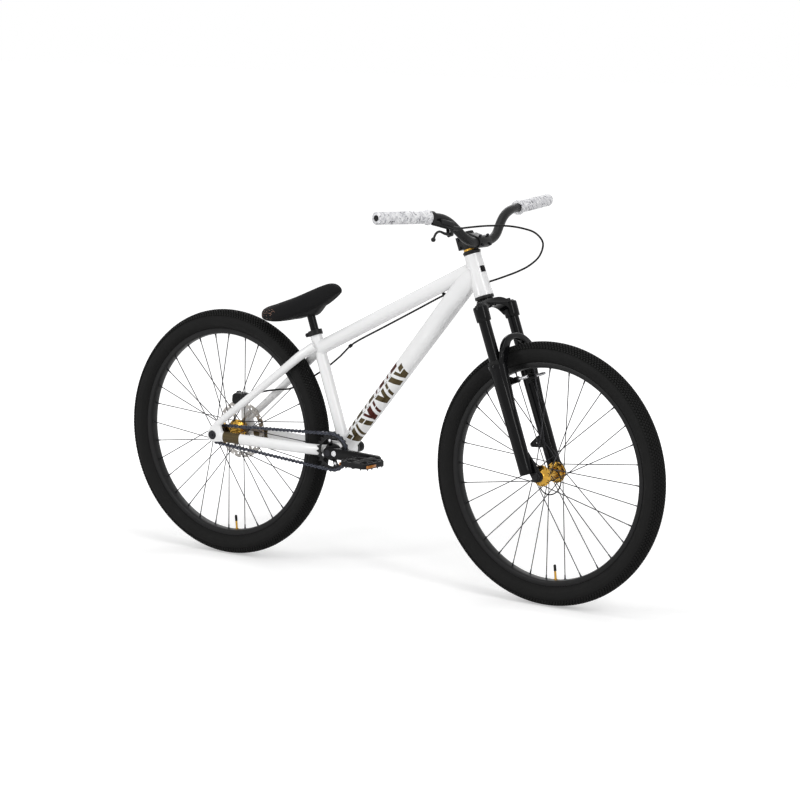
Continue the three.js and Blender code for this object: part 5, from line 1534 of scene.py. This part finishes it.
bar_points = [bar_point(i, -1) for i in range(12, 0, -1)] + [bar_point(i, 1) for i in range(13)]
bar_curve = smooth_line(bar_points, 5)
bar_radii = []
for point in bar_curve:
    outward = abs(point.y)
    if outward < 0.030:
        bar_radii.append(0.0125)
    else:
        bar_radii.append(lerp(0.0120, 0.0111, min(max((outward - 0.150) / 0.022, 0), 1)))
bar_shape = bmesh.new()
swept(bar_shape, bar_curve, bar_radii, 32)
finish_piece(bar_shape, "bar_pipe", "steering", black_alloy, ["handlebar"])

# %% Grips
marble = finish("grip_marble", (0.8, 0.8, 0.8), (0.8, 0.8, 0.8), 0, (0.5, 0.65), 60, 1300, 0.25)
nodes, links = marble.node_tree.nodes, marble.node_tree.links
veins = nodes.new("ShaderNodeTexNoise")
veins.inputs["Scale"].default_value = 58
veins.inputs["Detail"].default_value = 9
veins.inputs["Roughness"].default_value = 0.72
veins.inputs["Distortion"].default_value = 1.6
ramp = nodes.new("ShaderNodeValToRGB")
ramp.color_ramp.elements[0].position = 0.34
ramp.color_ramp.elements[0].color = (0.06, 0.06, 0.07, 1)
ramp.color_ramp.elements[1].position = 0.56
ramp.color_ramp.elements[1].color = (0.86, 0.86, 0.87, 1)
for position, grey in ((0.41, 0.26), (0.46, 0.60)):
    middle = ramp.color_ramp.elements.new(position)
    middle.color = (grey, grey, grey * 1.05, 1)
links.new(nodes["Texture Coordinate"].outputs["Object"], veins.inputs["Vector"])
links.new(veins.outputs["Fac"], ramp.inputs["Fac"])
links.new(ramp.outputs["Color"], nodes["Principled BSDF"].inputs["Base Color"])


def grip(side, word):
    start, end = bar_line(side, 0.2005), bar_line(side, 0.380)
    along = (end - start).normalized()
    length = (end - start).length
    line = [(0.0116, 0), (0.0180, 0), (0.0192, 0.0008), (0.0194, 0.0028), (0.0188, 0.0042), (0.0160, 0.0050)]
    ribs = 26
    for i in range(ribs):
        place = 0.009 + (length - 0.016) * i / ribs
        step = (length - 0.016) / ribs
        high = 0.0160 if 5 < i < 20 else 0.0157
        line += [
            (0.0149, place), (high, place + step * 0.25), (high, place + step * 0.70),
            (0.0149, place + step * 0.95),
        ]
    line += [
        (0.0158, length - 0.004), (0.0160, length), (0.0155, length + 0.0022), (0.0140, length + 0.003),
        (0, length + 0.003), (0, length + 0.0005), (0.0116, length + 0.0005),
    ]
    plug_line = [
        (0, length + 0.0008), (0.0060, length + 0.0008), (0.0072, length + 0.0014),
        (0.0078, length + 0.0034),
    ]
    plug_line += [(0.0070, length + 0.0040), (0.0050, length + 0.0034), (0, length + 0.0030)]
    turned_piece(
        "bar_plug_" + word, plug_line, start, along, "steering", black_plastic, steps=28,
        closed=False,
    )
    turned_piece(
        "grip_" + word, line, start, along, "steering", marble, [word + "_grip"], steps=40,
        sharp=40,
    )


grip(-1, "right")
grip(1, "left")

# %% [markdown]
# ## Brake lever, hose and caliper
# The only brake is at the back. Its lever sits on the bar inside the right grip, on a small master
# cylinder. The hose swings out in a loop in front of the bar, so the bar can turn, and then runs along
# the top tube and seat stay to the caliper. It is one tube, drawn through points given on the steering
# at its front end and on the frame behind. The caliper is two halves across the disc, joined by a bridge
# over its edge.

# %% Lever perch
perch_place = bar_line(-1, 0.191)
perch_axis = (bar_line(-1, 0.380) - perch_place).normalized()
perch_shape = bmesh.new()
spun(
    perch_shape,
    [
        (0.0114, -0.0072), (0.0150, -0.0072), (0.0162, -0.0060), (0.0162, 0.0060), (0.0150, 0.0072),
        (0.0114, 0.0072),
    ],
    perch_place, perch_axis, 40,
)
body_back, body_front = steer(0.0435, -0.196, 0.676), steer(0.055, -0.114, 0.6495)
body_axis = (body_front - body_back).normalized()
body_length = (body_front - body_back).length
barrel = [
    (0, -0.001), (0.0058, -0.001), (0.0070, 0.0006), (0.0075, 0.0030), (0.0075, 0.0300), (0.0078, 0.0310),
    (0.0078, 0.0560), (0.0070, 0.0575), (0.0066, 0.0700), (0.0060, body_length - 0.010),
    (0.0056, body_length - 0.001), (0.0048, body_length), (0, body_length),
]
spun(perch_shape, barrel, body_back, body_axis, 28, closed=False)
rod(perch_shape, perch_place + steer_forward * 0.009, body_back + body_axis * 0.004, 0.0068, 0.0072, 20)
pivot = steer(0.047, -0.140, 0.639)
for end in (-1, 1):
    cheek = bmesh.new()
    outline = hull_outline((0, 0, 0.0058), (0.004, 0.0125, 0.0062), steps=32)
    at_cheek = [pivot + steer_forward * end * 0.0046 + across * y + steer_up * z for y, z in outline]
    plate(cheek, at_cheek, steer_forward * end * 0.0023)
    rounded(cheek, 0.0005, 2, 50)
    taken_into(perch_shape, cheek)
spun(
    perch_shape,
    [(0, -0.0078), (0.0022, -0.0078), (0.0024, -0.0070), (0.0024, 0.0070), (0.0022, 0.0078), (0, 0.0078)],
    pivot, steer_forward, 16, closed=False,
)
reservoir = bmesh.new()
tank_centre = body_back.lerp(body_front, 0.52) + steer_forward * 0.0030 + steer_up * 0.0042
tank_axes = Matrix((body_axis, steer_forward, body_axis.cross(steer_forward))).transposed().to_4x4()
brick(reservoir, tank_centre, (0.044, 0.0190, 0.0150), tank_axes)
rounded(reservoir, 0.0050, 4, 40)
taken_into(perch_shape, reservoir)
finish_piece(perch_shape, "lever_body", "steering", black_alloy, ["lever_perch"])

# %% Lever blade
lever_points = [
    steer(*spot)
    for spot in (
        (0.047, -0.140, 0.639), (0.047, -0.160, 0.6425), (0.047, -0.181, 0.6495), (0.0475, -0.200, 0.645),
        (0.051, -0.222, 0.6305),
    )
]
lever_shape = bmesh.new()
lever_line = smooth_line(lever_points, 6)
lever_radii = [lerp(0.0046, 0.0031, min(i / 10, 1)) for i in range(len(lever_line))]
swept(lever_shape, lever_line, lever_radii, 16)
rod(lever_shape, pivot - steer_forward * 0.0040, pivot + steer_forward * 0.0040, 0.0055, sides=24)
bmesh.ops.create_uvsphere(
    lever_shape, u_segments=20, v_segments=12, radius=0.0060, matrix=Matrix.Translation(lever_points[-1]),
)
finish_piece(lever_shape, "lever_arm", "lever_blade", black_alloy, ["brake_lever"])

# %% Hose
loop_spots = [
    (55.4, -112.2, 649.3), (60, -85, 649), (66, -45, 647.5), (75, 0, 644), (96, 50, 633.5), (114, 90, 618),
    (129, 112, 600), (138, 118, 571), (129, 100, 541), (113, 70, 523.7), (94, 40, 515.3), (62, 24.5, 512.5),
    (32, 25.5, 512.6), (6, 27.4, 513.3),
]
run_spots = [
    (308.4, 27.5, 805.9), (282, 28.8, 797), (250, 29.5, 787), (225, 28.5, 778.5), (205, 20, 771.5),
    (184.5, 10, 764.5), (100, 10, 721), (0, 10, 669.3), (-85, 10, 626), (-119, 14, 606), (-150, 24, 583),
    (-172, 28, 566), (-230, 36, 527), (-329, 40, 472), (-380, 36, 462), (-425, 37.5, 453), (-465, 41, 441),
    (-487, 43, 435), (-499.5, 43, 434),
]
hose_points = [steer(t / 1000, y / 1000, up / 1000) for t, y, up in loop_spots]
hose_points += [Vector(spot) / 1000 for spot in run_spots]
hose_line = smooth_line(hose_points, 4)
hose_shape = bmesh.new()
swept(hose_shape, hose_line, 0.0025, 12)
bmesh.ops.recalc_face_normals(hose_shape, faces=hose_shape.faces)
hose_mesh = bpy.data.meshes.new("brake_line")
hose_shape.to_mesh(hose_mesh)
hose_shape.free()
hose_mesh.shade_smooth()
hose_mesh.materials.append(black_rubber)
hose = bpy.data.objects.new("brake_line", hose_mesh)
bpy.context.scene.collection.objects.link(hose)
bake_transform(hose)
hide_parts("brake_hose", "brake_hose_loop")

# %% Hose fittings and clips
fitting = bmesh.new()
hose_start = (hose_points[1] - hose_points[0]).normalized()
spun(
    fitting,
    [
        (0, -0.0040), (0.0048, -0.0040), (0.0052, -0.0030), (0.0052, 0.0040), (0.0042, 0.0050),
        (0.0034, 0.0120), (0.0028, 0.0120), (0, 0.0120),
    ],
    hose_points[0], hose_start, 20, closed=False,
)
finish_piece(fitting, "hose_nut_front", "steering", black_alloy)
clips = bmesh.new()
for i in (19, 23):
    spot = hose_points[i]
    along = (hose_points[i + 1] - hose_points[i - 1]).normalized()
    spun(
        clips,
        [
            (0.0026, -0.0045), (0.0042, -0.0045), (0.0046, -0.0038), (0.0046, 0.0038), (0.0042, 0.0045),
            (0.0026, 0.0045),
        ],
        spot, along, 24,
    )
    towards = top_rear + top_along * (spot - top_rear).dot(top_along)
    if (towards - spot).length > 0.03:
        towards = spot + Vector((0.006, -0.012, 0.006))
    away = (towards - spot).normalized()
    rod(
        clips, spot + away * 0.0040, spot + away * min((towards - spot).length - 0.016, 0.012), 0.0034,
        0.0044, 16,
    )
finish_piece(clips, "hose_clips", "frame", black_plastic)

# %% Caliper
caliper_shape = bmesh.new()
caliper_middle = Vector((rear_axle.x - 0.003, 0.0535, rear_axle.z + 0.0840))
for y, thick in ((0.0445, 0.0125), (0.0645, 0.0140)):
    half_body = hull_outline(
        (-0.010, -0.003, 0.0115), (0.010, -0.003, 0.0115), (-0.013, 0.007, 0.0075), (0.013, 0.007, 0.0075),
        steps=40,
    )
    loop = [Vector((caliper_middle.x + x, y - thick / 2, caliper_middle.z + z)) for x, z in half_body]
    plate(caliper_shape, loop, across * thick)
bridge = [
    (-0.018, 0.006), (-0.014, 0.0165), (0.014, 0.0165), (0.018, 0.006), (0.008, 0.006), (0.005, 0.010),
    (-0.005, 0.010), (-0.008, 0.006),
]
plate(
    caliper_shape, [Vector((caliper_middle.x + x, 0.0400, caliper_middle.z + z)) for x, z in bridge],
    across * 0.0310,
)
ear = hull_outline((-0.019, -0.012, 0.0052), (-0.019, 0.014, 0.0052), (-0.004, 0.000, 0.0100), steps=32)
plate(
    caliper_shape, [Vector((caliper_middle.x + x, 0.0600, caliper_middle.z + z)) for x, z in ear],
    across * 0.0080,
)
rounded(caliper_shape, 0.0022, 3, 40)
for y, away in ((0.0383, -1), (0.0715, 1)):
    spot = Vector((caliper_middle.x, y, caliper_middle.z - 0.001))
    spun(
        caliper_shape,
        [
            (0, 0.0012), (0.0060, 0.0012), (0.0070, 0.0020), (0.0086, 0.0020), (0.0092, 0.0012),
            (0.0092, -0.002), (0, -0.002),
        ],
        spot, across * away, 28, closed=False,
    )
finish_piece(caliper_shape, "caliper_body", "frame", black_alloy, ["brake_caliper"], 45)
fittings = bmesh.new()
post_x, bolt_y = rear_axle.x - 0.022, 0.0682
for z in (0.072, 0.098):
    spot = Vector((post_x, bolt_y, rear_axle.z + z))
    spun(
        fittings,
        [
            (0, 0.0035), (0.0022, 0.0035), (0.0022, 0.0048), (0.0046, 0.0048), (0.0052, 0.0040),
            (0.0052, -0.0010), (0, -0.0010),
        ],
        spot, across, 18, closed=False,
    )
banjo = hose_points[-1]
spun(
    fittings,
    [
        (0, 0.010), (0.0030, 0.010), (0.0042, 0.0090), (0.0042, 0.0040), (0.0060, 0.0030),
        (0.0060, -0.0035), (0, -0.0035),
    ],
    banjo, Vector((1, 0, 0.1)).normalized(), 20, closed=False,
)
finish_piece(fittings, "caliper_bolts", "frame", dark_steel)

# %% [markdown]
# ## Saddle and post
# A small padded dirt saddle with a raised nose. The foam and its woven black cover make one crowned
# form, drawn out along the seat: wide and low behind, narrow and high in front. A plastic base closes
# it from below and grips the post. The form starts as one ring that is extruded along the seat, and
# each ring is shaped to the saddle's own height and width there.

# %% Seat post
post_line = [(0, 0.176), (0.0105, 0.176), (0.0111, 0.1766), (0.0111, 0.3834), (0.0105, 0.384), (0, 0.384)]
turned_piece(
    "post_pipe", post_line, seat_foot, seat_up, "saddle_post", gloss_black, ["seat_post"],
    steps=40, closed=False,
)

# %% Saddle's lines
saddle_back, saddle_long, saddle_half = on_seat(0.384).x - 0.145377, 0.248, 0.065
saddle_low, saddle_high = on_seat(0.384).z - 0.02936, 0.112
top_shares = [
    (0, 0.285), (0.177, 0.380), (0.452, 0.607), (0.722, 0.875), (0.879, 1), (0.968, 0.964), (1, 0.9),
]
width_shares = [
    (0, 0.72), (0.15, 0.97), (0.27, 1), (0.45, 0.84), (0.65, 0.54), (0.8, 0.42), (0.93, 0.38), (1, 0.3),
]


def read_off(table, share):
    """Reads a table of (share, value), in a straight line between its rows."""
    for (a, low), (b, high) in zip(table, table[1:]):
        if share <= b:
            return lerp(low, high, (share - a) / (b - a))
    return table[-1][1]


def softened(table, share, reach=0.05):
    """The table's mean a little to each side, which rounds its corners."""
    return sum(
        read_off(table, min(max(share + offset * reach, 0), 1)) for offset in (-1, -0.5, 0, 0.5, 1)
    ) / 5


wrap_shares = [
    (0, 0.05), (0.05, -0.010), (0.2, -0.035), (0.33, 0.000), (0.45, 0.095), (0.62, 0.255), (0.8, 0.455),
    (0.927, 0.655), (1, 0.76),
]
shell_shares = [
    (0, 0.20), (0.1, 0.14), (0.2, 0.09), (0.387, 0.040), (0.44, 0.050), (0.524, 0.107), (0.681, 0.179),
    (0.722, 0.268), (0.786, 0.446), (0.859, 0.62), (1, 0.88),
]


def saddle_top(share):
    return saddle_low + saddle_high * softened(top_shares, share)


def saddle_wrap(share):
    return saddle_low + saddle_high * softened(wrap_shares, share)


def shell_bottom(share):
    return saddle_low + saddle_high * softened(shell_shares, share, 0.02)


def shell_top(share):
    return lerp(saddle_wrap(share), saddle_top(share), 0.5)


def drawn_form(shape, lower, upper, width, powers, waist, sides=72, rings=52):
    """One unit ring, extruded in steps of 1 along X, and then shaped to the saddle at each step."""
    ring = bmesh.ops.create_circle(
        shape, cap_ends=False, segments=sides, radius=1, matrix=Matrix.Rotation(pi / 2, 4, "Y"),
    )["verts"]
    edges = list({edge for vert in ring for edge in vert.link_edges})
    for _ in range(rings - 1):
        grown = bmesh.ops.extrude_edge_only(shape, edges=edges)["geom"]
        edges = [part for part in grown if isinstance(part, bmesh.types.BMEdge)]
        bmesh.ops.translate(
            shape, verts=[part for part in grown if isinstance(part, bmesh.types.BMVert)], vec=(1, 0, 0),
        )
    bmesh.ops.edgeloop_fill(shape, edges=[edge for edge in shape.edges if edge.is_boundary])
    for vert in shape.verts:
        share = (1 - cos(pi * (round(vert.co.x) + 0.12) / (rings - 0.76))) / 2
        tall_swell = (1 - abs(2 * share - 1) ** 11) ** 0.45
        wide_swell = (1 - abs(2 * share - 1) ** 8) ** 0.5
        sideways, rise = vert.co.y, vert.co.z
        low, high = lower(share), upper(share)
        level = lerp(low, high, waist)
        power = powers[0] if rise < 0 else powers[1]
        tall = level - low if rise < 0 else high - level
        half = saddle_half * softened(width_shares, share) * width * wide_swell
        vert.co.x = saddle_back + saddle_long * share
        vert.co.y = half * abs(sideways) ** power * (1 if sideways > 0 else -1)
        vert.co.z = level + tall * tall_swell * abs(rise) ** power * (1 if rise > 0 else -1)


print("saddle lines ready")

# %% Saddle cover
cover = finish(
    "saddle_cover", (0.007, 0.007, 0.0075), (0.013, 0.013, 0.0135), 0, (0.70, 0.85), 60, 1300, 0.3,
    sheen=0.01, shine=0.08,
)
nodes, links = cover.node_tree.nodes, cover.node_tree.links
threads = []
for direction in ("X", "Y"):
    wave = nodes.new("ShaderNodeTexWave")
    wave.bands_direction = direction
    wave.inputs["Scale"].default_value = 190
    wave.inputs["Distortion"].default_value = 0.4
    links.new(nodes["Texture Coordinate"].outputs["Object"], wave.inputs["Vector"])
    threads.append(wave)
weave = nodes.new("ShaderNodeMath")
weave.operation = "MULTIPLY"
links.new(threads[0].outputs["Fac"], weave.inputs[0])
links.new(threads[1].outputs["Fac"], weave.inputs[1])
links.new(weave.outputs["Value"], nodes["Bump"].inputs["Height"])
patch_place = nodes.new("ShaderNodeMapping")
patch_place.vector_type = "TEXTURE"
patch_place.inputs["Location"].default_value = (saddle_back + 0.050, -0.056, saddle_low + 0.022)
patch_place.inputs["Scale"].default_value = (0.030, 0.034, 0.020)
patch_area = nodes.new("ShaderNodeTexGradient")
patch_area.gradient_type = "SPHERICAL"
dots = nodes.new("ShaderNodeTexVoronoi")
dots.inputs["Scale"].default_value = 230
shown = nodes.new("ShaderNodeMath")
shown.operation = "LESS_THAN"
shown.inputs[1].default_value = 0.20
inside = nodes.new("ShaderNodeMath")
inside.operation = "GREATER_THAN"
inside.inputs[1].default_value = 0.12
both = nodes.new("ShaderNodeMath")
both.operation = "MULTIPLY"
print_mix = nodes.new("ShaderNodeMix")
print_mix.data_type = "RGBA"
print_mix.inputs["B"].default_value = (0.62, 0.36, 0.26, 1)
links.new(nodes["Texture Coordinate"].outputs["Object"], patch_place.inputs["Vector"])
links.new(patch_place.outputs["Vector"], patch_area.inputs["Vector"])
links.new(nodes["Texture Coordinate"].outputs["Object"], dots.inputs["Vector"])
links.new(dots.outputs["Distance"], shown.inputs[0])
links.new(patch_area.outputs["Fac"], inside.inputs[0])
links.new(shown.outputs["Value"], both.inputs[0])
links.new(inside.outputs["Value"], both.inputs[1])
links.new(both.outputs["Value"], print_mix.inputs["Factor"])
links.new(nodes["Mix"].outputs["Result"], print_mix.inputs["A"])
links.new(print_mix.outputs["Result"], nodes["Principled BSDF"].inputs["Base Color"])
print("woven cover with a small dotted print")

# %% Saddle cushion and base
cushion = bmesh.new()
drawn_form(cushion, saddle_wrap, saddle_top, 1, (0.55, 0.85), 0.42)
pad = finish_piece(cushion, "saddle_pad", "saddle_post", cover, ["saddle"], 60)
base = bmesh.new()
drawn_form(base, shell_bottom, shell_top, 0.66, (0.75, 0.6), 0.6)
finish_piece(base, "saddle_shell", "saddle_post", black_plastic, ["saddle_base"], 60)
